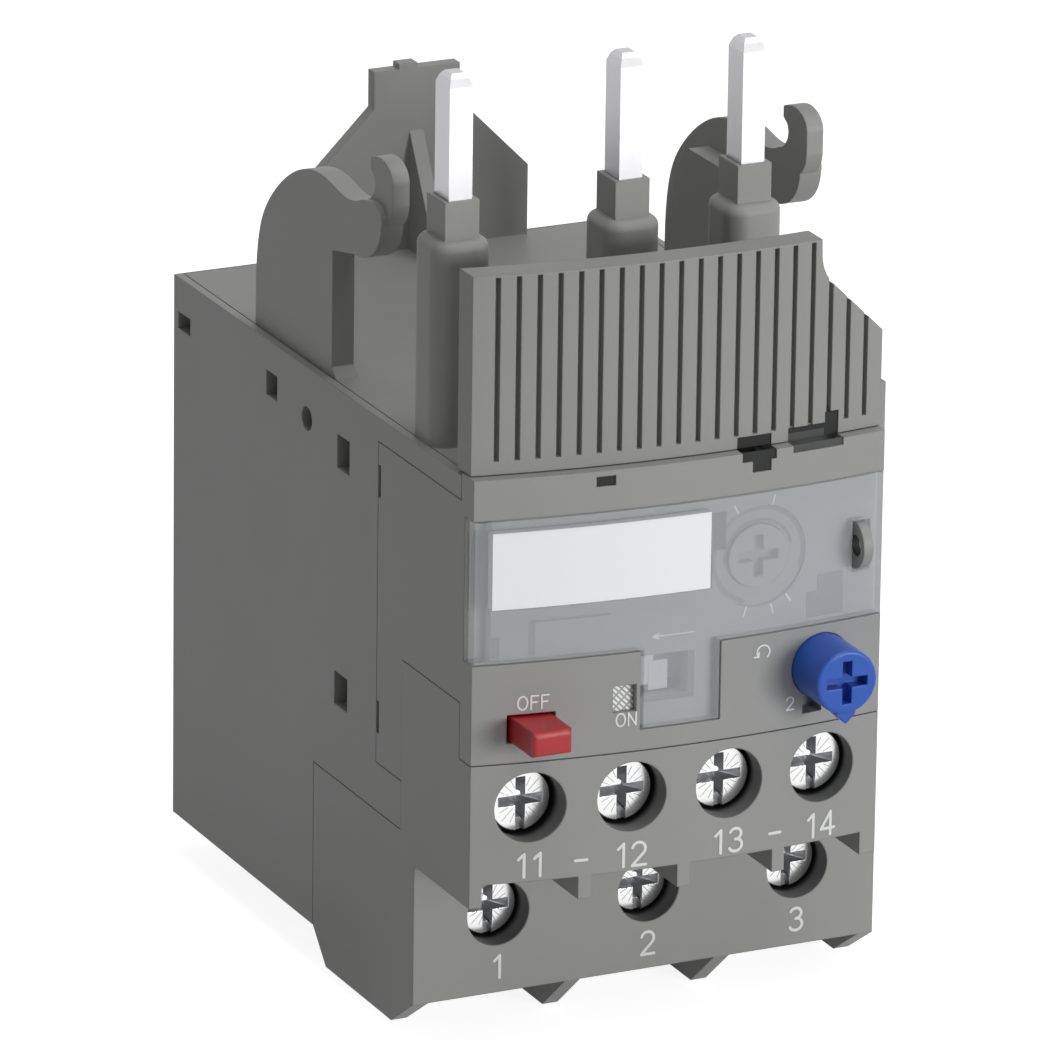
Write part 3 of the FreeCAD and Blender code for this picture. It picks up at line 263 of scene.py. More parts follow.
def hatched_acetal():
    """White acetal with a fine slanting hatch printed on it in grey."""
    made, tree = material("hatched_acetal")
    place = add(tree, "ShaderNodeTexCoord").outputs["Object"]
    turned = add(
        tree, "ShaderNodeMapping", values={"Rotation": (0, math.radians(45), 0)},
        links={"Vector": place},
    )
    parts = add(tree, "ShaderNodeSeparateXYZ", links={0: turned.outputs[0]}).outputs
    waves = []
    for side, pitch, share in (("X", 0.36, 0.58), ("Z", 0.72, 0.78)):
        steps = add(
            tree, "ShaderNodeMath", {"operation": "DIVIDE"}, {1: pitch * MM},
            {0: parts[side]},
        )
        rest = add(tree, "ShaderNodeMath", {"operation": "FRACT"}, links={0: steps.outputs[0]})
        waves.append(add(
            tree, "ShaderNodeMath", {"operation": "LESS_THAN"}, {1: share},
            {0: rest.outputs[0]},
        ))
    stroke = add(
        tree, "ShaderNodeMath", {"operation": "MULTIPLY"},
        links={0: waves[0].outputs[0], 1: waves[1].outputs[0]},
    )
    tone = colour_mix(tree, stroke.outputs[0], linear("#9c9d9d"), linear("#f2f3f3"))
    shader = add(
        tree, "ShaderNodeBsdfPrincipled", values={"Roughness": 0.45},
        links={"Base Color": tone},
    )
    finish_surface(tree, shader)
    return made


def clear_polycarbonate():
    """Clear moulded polycarbonate: glossy, faintly milky, soft edges that catch light."""
    made, tree = material("clear_polycarbonate")
    rounding = add(tree, "ShaderNodeBevel", {"samples": 4}, {"Radius": 0.15 * MM})
    shader = add(
        tree, "ShaderNodeBsdfPrincipled",
        values={
            "Base Color": linear("#e4e6e9"), "Roughness": 0.14, "IOR": 1.58,
            "Alpha": 0.25,
        },
        links={"Normal": rounding.outputs["Normal"]},
    )
    finish_surface(tree, shader)
    return made


def woven_sleeve():
    """Glass-fibre sleeving: a fine weave in two crossing waves."""
    made, tree = material("woven_glass_sleeve")
    place = add(tree, "ShaderNodeTexCoord").outputs["Object"]
    warp = add(
        tree, "ShaderNodeTexWave", {"bands_direction": "Z"}, {"Scale": 700.0},
        {"Vector": place},
    )
    weft = add(
        tree, "ShaderNodeTexWave", {"bands_direction": "DIAGONAL"}, {"Scale": 700.0},
        {"Vector": place},
    )
    both = add(
        tree, "ShaderNodeMath", {"operation": "MAXIMUM"},
        links={0: warp.outputs["Fac"], 1: weft.outputs["Fac"]},
    )
    bump = add(
        tree, "ShaderNodeBump", values={"Strength": 0.5, "Distance": 0.05 * MM},
        links={"Height": both.outputs[0]},
    )
    shader = add(
        tree, "ShaderNodeBsdfPrincipled",
        values={"Base Color": linear("#d9d3bf"), "Roughness": 0.85},
        links={"Normal": bump.outputs["Normal"]},
    )
    finish_surface(tree, shader)
    return made


# Grey glass-filled polyamide, spark-eroded mould: a matt skin with a fine even grain.
grey_polyamide = moulded_plastic("grey_polyamide", "#969795", 0.5, 0.16, 0.35, 0.18)
# The same polyamide on the grip cover, moulded with a coarser grain for the fingers.
grip_polyamide = moulded_plastic("grip_polyamide", "#939492", 0.55, 0.28, 0.6, 0.15)
# White acetal of the test slide and the dial: satin, very even.
white_acetal = moulded_plastic("white_acetal", "#dcdde0", 0.4, 0.1, 0.1, 0.1, 0.02)
# Dark polyamide of the mechanism behind the panel.
dark_polyamide = moulded_plastic("dark_polyamide", "#3a3b3c", 0.55, 0.2, 0.3, 0.1)
# Red ABS button, polished mould: a soft gloss.
red_abs = moulded_plastic("red_abs", "#ad1e26", 0.32, 0.12, 0.08, 0.45, 0.04, 0.5)
# Blue ABS knob, polished mould: a soft gloss.
blue_abs = moulded_plastic("blue_abs", "#1f55b6", 0.32, 0.12, 0.08, 0.22, 0.04, 0.45)
# Coated card in the marker window.
white_card = moulded_plastic("white_card", "#f7f8f9", 0.6, 0.4, 0.05, 0.02, 0.01)
# Pad-printed white ink.
white_ink = moulded_plastic("white_ink", "#e4e5e5", 0.5, 0.1, 0.1, 0.01, 0.01)
# Steel, turned and nickel-plated: bright, with faint tool marks.
nickel_plate = plated_metal("nickel_plated_steel", "#e6e5e1", 0.2, 0.3, 0.25, (1, 1, 1))
# Copper, silver-plated: the palest metal here, drawn lengthways.
silver_plate = plated_metal("silver_plated_copper", "#c3c3c5", 0.36, 0.25, 0.3, (1, 1, 0.1))
# Stamped brass bars.
stamped_brass = plated_metal("stamped_brass", "#c9a85c", 0.3, 0.4, 0.2, (1, 0.2, 1))
# Rolled spring steel strip.
spring_steel = plated_metal("rolled_spring_steel", "#b9b9b7", 0.28, 0.3, 0.2, (0.2, 1, 1))
# Bimetal strip: rolled, slightly brown on its active side.
bimetal_strip = plated_metal("rolled_bimetal", "#a39c92", 0.34, 0.3, 0.25, (1, 1, 0.2))
# Phosphor bronze contact blade.
contact_bronze = plated_metal("phosphor_bronze", "#b98a62", 0.3, 0.3, 0.2, (1, 1, 0.2))
# Steel screw, nickel-plated; the cross recess, slot and radial marks get painted shade, darker
# and less metallic than the turned face.
screw_plate = recess_shaded_metal("nickel_plated_screw", "#f4f4f4", "#b4b5b7", 0.2)
# Painted shade: the grey polyamide darkened where a well or a gap goes too deep for light.
well_shade = painted_well_shade("shaded_well", "#727372", "#131313")
gap_shade = moulded_plastic("unlit_gap", "#202121", 0.7, 0.2, 0.1, 0.02)
# Painted shade: darker patches and lines on the bed under the clear flap, standing for pockets,
# edges and the dial ring's steps in shade.
bed_shade_grey = moulded_plastic("painted_bed_shade", "#6d6e6f", 0.6, 0.2, 0.2, 0.05)
shade_line_grey = moulded_plastic("bed_shade_lines", "#777879", 0.6, 0.2, 0.2, 0.02)
# Painted half shade, at the floor of a notch and on the patch right of the label.
hollow_grey = moulded_plastic("shaded_notch", "#4a4b4b", 0.7, 0.2, 0.2, 0.02)
glass_sleeve = woven_sleeve()
clear_flap = clear_polycarbonate()
# Status flag: white acetal printed with a fine hatch.
hatched_flag = hatched_acetal()

BY_SLOT = {
    "housing": grey_polyamide,
    "carrier": grey_polyamide,
    "terminal_block": grey_polyamide,
    "panel": grey_polyamide,
    "grip_cover": grip_polyamide,
    "clear": clear_flap,
    "white_plastic": white_acetal,
    "red_plastic": red_abs,
    "blue_plastic": blue_abs,
    "inner_plastic": dark_polyamide,
    "dial": grey_polyamide,
    "spring_steel": spring_steel,
    "silvered_copper": silver_plate,
    "bimetal": bimetal_strip,
    "heater": glass_sleeve,
    "brass": stamped_brass,
    "nickel_steel": nickel_plate,
    "contact_bronze": contact_bronze,
}


def dress_frame():
    """Gives every CAD node the finish of its material slot."""
    for part in frame["record"]["subparts"]:
        node = frame["nodes"][part["node"]]
        node.data.materials.clear()
        node.data.materials.append(BY_SLOT[part["material_slot"]])
    frame["nodes"]["label_plate"].data.materials[0] = white_card
    frame["nodes"]["status_flag"].data.materials[0] = hatched_flag


# ---- mesh helpers --------------------------------------------------------------------
def placed(name, mesh, body, finish):
    """Puts a finished mesh in the scene, riding on its body."""
    piece = bpy.data.objects.new(name, mesh)
    bpy.context.scene.collection.objects.link(piece)
    mesh.materials.clear()
    mesh.materials.append(finish)
    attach(piece, body)
    return piece


def baked(piece):
    """The object's mesh with its modifiers applied; the object itself is removed."""
    bpy.context.view_layer.update()
    seen = piece.evaluated_get(bpy.context.evaluated_depsgraph_get())
    mesh = bpy.data.meshes.new_from_object(seen)
    bpy.data.objects.remove(piece)
    return mesh


def temporary(name, mesh):
    """An object that only lives until its mesh is finished."""
    piece = bpy.data.objects.new(name, mesh)
    bpy.context.scene.collection.objects.link(piece)
    return piece


def from_bmesh(name, build):
    """A mesh made by a function that fills a bmesh."""
    work = bmesh.new()
    build(work)
    bmesh.ops.recalc_face_normals(work, faces=work.faces)
    mesh = bpy.data.meshes.new(name)
    work.to_mesh(mesh)
    work.free()
    return mesh


def block(work, low, high):
    """Adds a closed box between two corners."""
    corners = [
        work.verts.new((x, y, z))
        for x in (low[0], high[0]) for y in (low[1], high[1]) for z in (low[2], high[2])
    ]
    sides = [
        (0, 1, 3, 2), (4, 6, 7, 5), (0, 4, 5, 1), (2, 3, 7, 6), (0, 2, 6, 4), (1, 5, 7, 3)
    ]
    for side in sides:
        work.faces.new([corners[i] for i in side])


def ring_loft(work, rings):
    """Joins rings of points into a closed skin with flat ends."""
    loops = [[work.verts.new(point) for point in ring] for ring in rings]
    for lower, upper in zip(loops, loops[1:]):
        count = len(lower)
        for i in range(count):
            j = (i + 1) % count
            work.faces.new((lower[i], lower[j], upper[j], upper[i]))
    work.faces.new(loops[0])
    work.faces.new(loops[-1])


def smooth_by_angle(mesh, degrees=35):
    """Smooth shading, with a flat front and edges sharper than the angle kept crisp."""
    work = bmesh.new()
    work.from_mesh(mesh)
    for face in work.faces:
        face.smooth = abs(face.normal.y) < 0.999
    for edge in work.edges:
        if len(edge.link_faces) == 2:
            edge.smooth = edge.calc_face_angle(0) < math.radians(degrees)
    work.to_mesh(mesh)
    work.free()


def cut_out(piece, cutters):
    """Cuts the cutter meshes out of the piece."""
    tools = []
    for k, mesh in enumerate(cutters):
        tool = temporary(f"cutter_{k}", mesh)
        cut = piece.modifiers.new(f"cut_{k}", "BOOLEAN")
        cut.operation = "DIFFERENCE"
        cut.solver = "EXACT"
        cut.object = tool
        tools.append(tool)
    mesh = baked(piece)
    for tool in tools:
        bpy.data.objects.remove(tool)
    return mesh


# ---- terminal screws --------------------------------------------------------------------
def cross_ring(half_arm, half_width, y):
    """The twelve corners of a cross at height y, in its own x and z."""
    a, w = half_arm, half_width
    outline = [
        (-w, -a), (w, -a), (w, -w), (a, -w), (a, w), (w, w), (w, a), (-w, a), (-w, w),
        (-a, w), (-a, -w), (-w, -w),
    ]
    return [(x, y, z) for x, z in outline]


def round_ring(radius, y, count=64):
    """A circle of points at height y."""
    steps = [2 * math.pi * k / count for k in range(count)]
    return [(radius * math.cos(t), y, radius * math.sin(t)) for t in steps]


def drive_marks_tree():
    """Geometry nodes that set fine radial marks between the arms of a cross recess."""
    tree = bpy.data.node_groups.new("drive_marks", "GeometryNodeTree")
    face = tree.interface
    face.new_socket("Geometry", in_out="OUTPUT", socket_type="NodeSocketGeometry")
    sizes = {
        "Radius": 1.7 * MM, "Length": 0.9 * MM, "Width": 0.07 * MM, "Depth": 0.05 * MM,
        "Turn": 0.0,
    }
    for name, value in sizes.items():
        socket = face.new_socket(name, in_out="INPUT", socket_type="NodeSocketFloat")
        socket.default_value = value
    count = face.new_socket("Count", in_out="INPUT", socket_type="NodeSocketInt")
    count.default_value = 4
    face.new_socket("Finish", in_out="INPUT", socket_type="NodeSocketMaterial")
    given = add(tree, "NodeGroupInput").outputs
    points = add(
        tree, "GeometryNodeMeshCircle",
        links={"Vertices": given["Count"], "Radius": given["Radius"]},
    )
    aside = add(tree, "ShaderNodeCombineXYZ", links={"Z": given["Turn"]})
    quarter = add(
        tree, "GeometryNodeTransform",
        links={"Geometry": points.outputs[0], "Rotation": aside.outputs[0]},
    )
    size = add(
        tree, "ShaderNodeCombineXYZ",
        links={"X": given["Length"], "Y": given["Width"], "Z": given["Depth"]},
    )
    mark = add(tree, "GeometryNodeMeshCube", links={"Size": size.outputs[0]})
    place = add(tree, "GeometryNodeInputPosition")
    aim = add(
        tree, "FunctionNodeAlignRotationToVector", {"axis": "X"},
        links={"Vector": place.outputs[0]},
    )
    spread = add(
        tree, "GeometryNodeInstanceOnPoints",
        links={
            "Points": quarter.outputs[0], "Instance": mark.outputs[0],
            "Rotation": aim.outputs[0],
        },
    )
    real = add(tree, "GeometryNodeRealizeInstances", links={0: spread.outputs[0]})
    dressed = add(
        tree, "GeometryNodeSetMaterial",
        links={"Geometry": real.outputs[0], "Material": given["Finish"]},
    )
    add(tree, "NodeGroupOutput", links={"Geometry": dressed.outputs[0]})
    return tree


def grown(tree, values):
    """The plain mesh that a geometry nodes tree makes with these input values."""
    piece = temporary("grown", bpy.data.meshes.new("grown"))
    growth = piece.modifiers.new("growth", "NODES")
    growth.node_group = tree
    for item in tree.interface.items_tree:
        if item.in_out == "INPUT" and item.name in values:
            growth[item.identifier] = values[item.name]
    return baked(piece)


def screw_mesh(radius, height, shank, reach, marks):
    """A terminal screw seen from -Y: rounded head, through slot, tapered cross recess."""
    rim = 0.16 * MM
    bend = [
        (radius - rim * (1 - math.sin(t)), rim * (1 - math.cos(t)))
        for t in [math.radians(a) for a in (0, 22, 45, 67, 90)]
    ]
    profile = [(radius * 0.5, 0.0)] + bend + [(radius, height), (shank, height), (shank, reach)]

    def head(work):
        ring_loft(work, [round_ring(r, y) for r, y in profile])

    def cross(work):
        ring_loft(work, [
            cross_ring(0.76 * radius, 0.48 * MM, -0.6 * MM),
            cross_ring(0.72 * radius, 0.46 * MM, 0.1 * MM),
            cross_ring(0.3 * radius, 0.33 * MM, 1.9 * MM),
        ])

    def slot(work):
        block(
            work, (-0.42 * MM, -0.5 * MM, -1.5 * radius), (0.42 * MM, 0.55 * MM, 0)
        )

    blank = temporary("screw_blank", from_bmesh("screw_blank", head))
    cutters = [from_bmesh("cross_tool", cross), from_bmesh("slot_tool", slot)]
    mesh = cut_out(blank, cutters)
    softened = temporary("screw_softened", mesh)
    bevel = softened.modifiers.new("edge", "BEVEL")
    bevel.width = 0.05 * MM
    bevel.segments = 2
    bevel.limit_method = "ANGLE"
    bevel.angle_limit = math.radians(40)
    mesh = baked(softened)
    smooth_by_angle(mesh)
    work = bmesh.new()
    work.from_mesh(mesh)
    # Painted shade: faces down the cross recess and along the slot, and the radial marks below,
    # take the darker recess grey.
    shade_and_marks = work.faces.layers.float.new("recess")
    for face in work.faces:
        middle = face.calc_center_median()
        inside = math.hypot(middle.x, middle.z) < 0.93 * radius and middle.y > 0.03 * MM
        in_slot = abs(middle.x) < 0.45 * MM and middle.z < 0 and 0.03 * MM < middle.y < 0.6 * MM
        face[shade_and_marks] = 1.0 if (inside and middle.y < 1.95 * MM) or in_slot else 0.0
    for star in marks:
        before = len(work.faces)
        star.transform(Matrix.Rotation(math.radians(90), 4, "X"))
        work.from_mesh(star)
        work.faces.ensure_lookup_table()
        for face in work.faces[before:]:
            face[shade_and_marks] = 1.0
    work.to_mesh(mesh)
    work.free()
    return mesh


def terminal_screws():
    """The seven clamp screws, each on its own body."""
    tree = drive_marks_tree()
    sets = [("main_screw", 3, 0.55), ("aux_screw", 4, 0.6)]
    for base, count, mark_place in sets:
        for k in range(1, count + 1):
            node = f"{base}_{k}"
            low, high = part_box(node)
            radius = (high.x - low.x) / 2
            marks = [
                grown(tree, {
                    "Radius": mark_place * radius, "Length": length * radius,
                    "Width": 0.07 * MM, "Depth": 0.02 * MM, "Count": 4,
                    "Turn": math.radians(turn), "Finish": screw_plate,
                })
                for turn, length in ((45, 0.5), (26, 0.3), (64, 0.3))
            ]
            mesh = screw_mesh(
                radius, 1.6 * MM, 0.62 * radius, high.y - low.y, marks
            )
            mesh.transform(Matrix.Translation((
                (low.x + high.x) / 2, low.y, (low.z + high.z) / 2
            )))
            piece = placed(f"{node}_turned", mesh, node, screw_plate)
            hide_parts(node)


# ---- wells and gaps -----------------------------------------------------------------------
def thin_sleeve(work, x, z, radius, surface, depth):
    """A closed thin tube against the wall of a round well, from its mouth inwards."""
    count = 64
    floor = min(surface(x - radius), surface(x + radius)) + depth
    deep = work.verts.layers.float.get("depth") or work.verts.layers.float.new("depth")
    rings = []
    for r, below in ((radius, 0), (radius, 1), (radius - 0.03 * MM, 1), (radius - 0.03 * MM, 0)):
        ring = []
        for px, _, pz in round_ring(r, 0, count):
            y = floor if below else surface(x + px) + 0.06 * MM
            vertex = work.verts.new((x + px, y, z + pz))
            vertex[deep] = below
            ring.append(vertex)
        rings.append(ring)
    for a, b in zip(rings, rings[1:] + rings[:1]):
        for k in range(count):
            m = (k + 1) % count
            work.faces.new((a[k], a[m], b[m], b[k]))


def shaded_wells():
    """Painted shade inside each screw well: a thin sleeve, darker the deeper it goes."""
    shade_depth = 4.0 * MM
    wall_gap = 0.01 * MM

    def tubes(base, count, radius, surface):
        def made(work):
            for k in range(1, count + 1):
                low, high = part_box(f"{base}_{k}")
                middle = (low + high) / 2
                thin_sleeve(
                    work, middle.x, middle.z, radius - wall_gap, surface, shade_depth
                )
        return made

    for base, count, radius, surface in (
        ("aux_screw", 4, AUX_WELL_RADIUS, panel_y),
        ("main_screw", 3, MAIN_WELL_RADIUS, flat_terminal),
    ):
        mesh = from_bmesh(f"{base}_wells", tubes(base, count, radius, surface))
        placed(f"{base}_wells", mesh, "housing", well_shade)


def thin_patch(work, x_low, x_high, z_low, z_high, surface, lift=INK):
    """A thin curved plate lying on the surface y = surface(x)."""
    count = max(1, math.ceil((x_high - x_low) / (1.2 * MM)))
    steps = [x_low + (x_high - x_low) * k / count for k in range(count + 1)]
    rings = []
    for x in steps:
        front = surface(x) - lift
        back = surface(x) - 0.002 * MM
        rings.append([
            (x, front, z_low), (x, front, z_high), (x, back, z_high), (x, back, z_low)
        ])
    ring_loft(work, rings)


# ---- printing -----------------------------------------------------------------------------
def arc(x, z, half_x, half_z, start, end, count=14):
    """Points along part of an ellipse, angles in degrees."""
    steps = [math.radians(start + (end - start) * k / count) for k in range(count + 1)]
    return [(x + half_x * math.cos(t), z + half_z * math.sin(t)) for t in steps]


NUMBER_HEIGHT = 2.1 * MM
SMALL_HEIGHT = 1.15 * MM
AUX_NUMBER_Z = 16.6 * MM
PEN_SHARE = 0.13              # line width in parts of a character's height
LETTER_SPACE = 0.26           # gap between characters, in the same parts

# Single-stroke characters, one unit tall: a width and the lines of the pen.
PEN = {
    "1": (0.42, [[(0.06, 0.78), (0.3, 1.0), (0.3, 0.0)]]),
    "2": (0.6, [arc(0.29, 0.71, 0.29, 0.29, 165, -35) + [(0.0, 0.0), (0.6, 0.0)]]),
    "3": (0.6, [
        arc(0.29, 0.76, 0.26, 0.24, 155, -90), arc(0.29, 0.27, 0.3, 0.27, 90, -155),
    ]),
    "4": (0.62, [[(0.45, 0.0), (0.45, 1.0), (0.0, 0.28), (0.62, 0.28)]]),
    "O": (0.7, [arc(0.35, 0.5, 0.35, 0.5, 0, 360, 28)]),
    "N": (0.6, [[(0.0, 0.0), (0.0, 1.0), (0.6, 0.0), (0.6, 1.0)]]),
    "F": (0.52, [[(0.0, 0.0), (0.0, 1.0), (0.52, 1.0)], [(0.0, 0.52), (0.42, 0.52)]]),
    "-": (0.5, [[(0.0, 0.5), (0.5, 0.5)]]),
}


def smooth_runs(points):
    """The line cut into runs without sharp corners, so that each can be one band."""
    runs = [[points[0]]]
    for before, here, after in zip(points, points[1:], points[2:]):
        runs[-1].append(here)
        a = Vector((here[0] - before[0], here[1] - before[1]))
        b = Vector((after[0] - here[0], after[1] - here[1]))
        if a.angle(b) > math.radians(35):
            runs.append([here])
    runs[-1].append(points[-1])
    return runs


def pen_line(work, points, width, surface):
    """A line of ink through points in (x, z), with round ends; each layer a hair higher."""
    half = width / 2
    step = 1.5 * MM

    def lay(corners):
        lift = INK + 0.0008 * MM * len(work.faces)
        return [work.verts.new((x, surface(x) - lift, z)) for x, z in corners]

    for run in smooth_runs(points):
        fine = [run[0]]
        for (xa, za), (xb, zb) in zip(run, run[1:]):
            count = max(1, math.ceil(math.hypot(xb - xa, zb - za) / step))
            fine += [
                (xa + (xb - xa) * k / count, za + (zb - za) * k / count)
                for k in range(1, count + 1)
            ]
        left, right = [], []
        for k, (x, z) in enumerate(fine):
            xa, za = fine[max(k - 1, 0)]
            xb, zb = fine[min(k + 1, len(fine) - 1)]
            length = math.hypot(xb - xa, zb - za)
            nx = -(zb - za) / length * half
            nz = (xb - xa) / length * half
            left.append((x + nx, z + nz))
            right.append((x - nx, z - nz))
        edges = lay(left + right)
        count = len(fine)
        for k in range(count - 1):
            work.faces.new((
                edges[k], edges[k + 1], edges[count + k + 1], edges[count + k]
            ))
        for x, z in (run[0], run[-1]):
            turns = [t * math.pi / 6 for t in range(12)]
            ring = [(x + half * math.cos(t), z + half * math.sin(t)) for t in turns]
            work.faces.new(lay(ring))


def facing_front(name, draw):
    """A flat mesh whose faces all look to the operating front."""
    mesh = from_bmesh(name, draw)
    work = bmesh.new()
    work.from_mesh(mesh)
    for face in work.faces:
        if face.normal.y > 0:
            face.normal_flip()
    work.to_mesh(mesh)
    work.free()
    return mesh


def printed(name, words, x, z, height, surface, finish, body="housing"):
    """Words drawn with a round pen, centred on (x, z)."""
    wide = sum(PEN[c][0] for c in words) + LETTER_SPACE * (len(words) - 1)
    start = x - wide * height / 2

    def draw(work):
        place = start
        for c in words:
            width, lines = PEN[c]
            for line in lines:
                points = [(place + px * height, z + (pz - 0.5) * height) for px, pz in line]
                pen_line(work, points, PEN_SHARE * height, surface)
            place += (width + LETTER_SPACE) * height

    placed(name, facing_front(name, draw), body, finish)


def markings():
    """Plain numbers under the terminals, and simple signs beside the controls."""
    for words, x in zip(("11", "12", "13", "14"), AUX_X):
        printed(
            f"aux_number_{words}", words, x, AUX_NUMBER_Z, NUMBER_HEIGHT, panel_y, white_ink
        )
    for k in (0, 2):
        x = (AUX_X[k] + AUX_X[k + 1]) / 2
        printed(
            f"aux_dash_{k // 2 + 1}", "-", x, AUX_NUMBER_Z, NUMBER_HEIGHT, panel_y, white_ink
        )
    for words, x in zip("123", POLE_X):
        printed(
            f"main_number_{words}", words, x, 2.4 * MM, NUMBER_HEIGHT, flat_terminal, white_ink
        )
    printed("off_word", "OFF", -17.1 * MM, 31.5 * MM, 1.2 * MM, panel_y, white_ink)
    printed("on_word", "ON", -8.72 * MM, 29.08 * MM, SMALL_HEIGHT, panel_y, white_ink)
    printed("knob_number", "2", 6.95 * MM, 28.35 * MM, SMALL_HEIGHT, panel_y, white_ink)

    def turn_sign(work):
        radius, barb, width, last = 0.62 * MM, 0.42 * MM, 0.15 * MM, 220
        ring = arc(4.2 * MM, 33.5 * MM, radius, radius, -50, last, 20)
        pen_line(work, ring, width, panel_y)
        tip_x, tip_z = ring[-1]
        for side in (135, 225):
            t = math.radians(last + 90 + side)
            end = (tip_x + barb * math.cos(t), tip_z + barb * math.sin(t))
            pen_line(work, [(tip_x, tip_z), end], width, panel_y)

    placed("turn_sign", facing_front("turn_sign", turn_sign), "housing", white_ink)

    def slide_arrow(work):
        z = 35.85 * MM
        pen_line(work, [(-5.7 * MM, z), (-1.9 * MM, z)], 0.12 * MM, bed_y)
        barbs = [(-5.25 * MM, z + 0.22 * MM), (-5.8 * MM, z), (-5.25 * MM, z - 0.22 * MM)]
        pen_line(work, barbs, 0.16 * MM, bed_y)

    placed("slide_arrow", facing_front("slide_arrow", slide_arrow), "housing", white_ink)


def dial_scale():
    """Painted shade lines in the ring round the dial, and the white marks of the setting scale.
    """
    low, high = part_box("setting_dial")
    x = (low.x + high.x) / 2
    z = (low.z + high.z) / 2

    def ring_floor(_):
        return bed_y(x) + 0.4 * MM

    # Painted shade: darker grey lines along the ring's outer edge and, over the upper side only,
    # beside the dial.
    def ring(work):
        pen_line(work, arc(x, z, 4.3 * MM, 4.3 * MM, -20, 250, 48), 0.45 * MM, ring_floor)
        pen_line(work, arc(x, z, 3.2 * MM, 3.2 * MM, 15, 190, 28), 0.3 * MM, ring_floor)

    placed("dial_ring", facing_front("dial_ring", ring), "housing", shade_line_grey)

    def ticks(work):
        inner, outer = 4.7 * MM, 5.5 * MM
        for angle in (118, 76, -56, -76, -106):
            t = math.radians(angle)
            pen_line(work, [
                (x + inner * math.cos(t), z + inner * math.sin(t)),
                (x + outer * math.cos(t), z + outer * math.sin(t)),
            ], 0.16 * MM, bed_y)

    placed("dial_ticks", facing_front("dial_ticks", ticks), "housing", white_ink)


def bed_patches(boxes, lift):
    """Thin patches on the bed, from x and z limits in millimetres."""
    def made(work):
        for box in boxes:
            x_low, x_high, z_low, z_high = (v * MM for v in box)
            thin_patch(work, x_low, x_high, z_low, z_high, bed_y, lift)
    return made


def bed_shade_marks():
    """Painted shade on the bed under the clear flap: darker patches, darker lines, and a
    half-shade patch right of the label.
    """
    steps = bed_patches([
        (9.05, 12.7, 35.45, 37.8), (10.05, 12.65, 37.8, 39.25), (-20.3, -19.6, 35.3, 37.2),
        (-2.5, -1.85, 29.95, 34.2), (-6.6, -2.5, 29.95, 30.38),
    ], 0.06 * MM)
    lines = bed_patches([(-17.0, -16.45, 35.35, 38.5), (-16.45, -9.7, 38.3, 38.5)], 0.05 * MM)
    label_side_patch = bed_patches([(-0.2, 0.95, 43.0, 46.4)], 0.06 * MM)
    placed("bed_shade_marks", from_bmesh("bed_shade_marks", steps), "housing", bed_shade_grey)
    placed("bed_shade_lines", from_bmesh("bed_shade_lines", lines), "housing", shade_line_grey)
    placed("label_side_shade", from_bmesh("label_side_shade", label_side_patch), "housing", hollow_grey)


def grip_face(x):
    """y of the grip cover's curved face at x."""
    return panel_y(x, RIB_APEX_Y)


def notch_shade_films():
    """Painted shade: near-black films a little way in at the backs of the notches and of the
    marker slot, and half-shade grey films on a notch floor.
    """
    seam = panel_high.z + 0.03 * MM
    film_back = 0.22 * MM
    film_thickness = 0.1 * MM

    def behind(surface):
        return lambda x: surface(x) + film_back

    def films(boxes):
        def made(work):
            for surface, x_low, x_high, below, above in boxes:
                thin_patch(
                    work, x_low * MM, x_high * MM, seam + below * MM, seam + above * MM,
                    behind(surface), film_thickness,
                )
        return made

    black = [
        (panel_y, 1.82, 5.08, -0.85, 0.0), (panel_y, 2.82, 4.58, -1.83, -0.85),
        (panel_y, -11.73, -10.02, -1.4, -0.55), (grip_face, 1.82, 5.08, 0.06, 1.03),
        (grip_face, 6.77, 10.4, 0.72, 1.18), (grip_face, 10.4, 11.73, 0.06, 2.1),
    ]
    half_lit = [(grip_face, 6.77, 10.4, 0.06, 0.72), (panel_y, 6.77, 11.73, -0.68, 0.0)]
    placed("notch_shade_films", from_bmesh("notch_shade_films", films(black)), "housing", gap_shade)
    placed("notch_floor", from_bmesh("notch_floor", films(half_lit)), "housing", hollow_grey)


def shaded_eye():
    """Painted shade: a near-black tube inside the sealing eye, whose hole runs along X."""
    eye_x = 13.8 * MM
    hole_radius = 0.94 * MM
    mesh = from_bmesh("eye_shade", lambda work: thin_sleeve(
        work, 0.0, 0.0, hole_radius, lambda _: -0.42 * MM, 0.8 * MM
    ))
    middle = Vector((eye_x, panel_y(eye_x) + 0.1 * MM, 41.7 * MM))
    mesh.transform(Matrix.Translation(middle) @ Matrix.Rotation(math.radians(90), 4, "Z"))
    placed("eye_shade", mesh, "housing", gap_shade)


def slide_pad():
    """The white pad on the test slide that shows in its window."""
    def pad(work):
        block(work, (-5.6 * MM, -63.62 * MM, 30.55 * MM), (-3.75 * MM, -61.4 * MM, 33.2 * MM))

    placed("slide_pad", from_bmesh("slide_pad", pad), "test_slider", white_acetal)


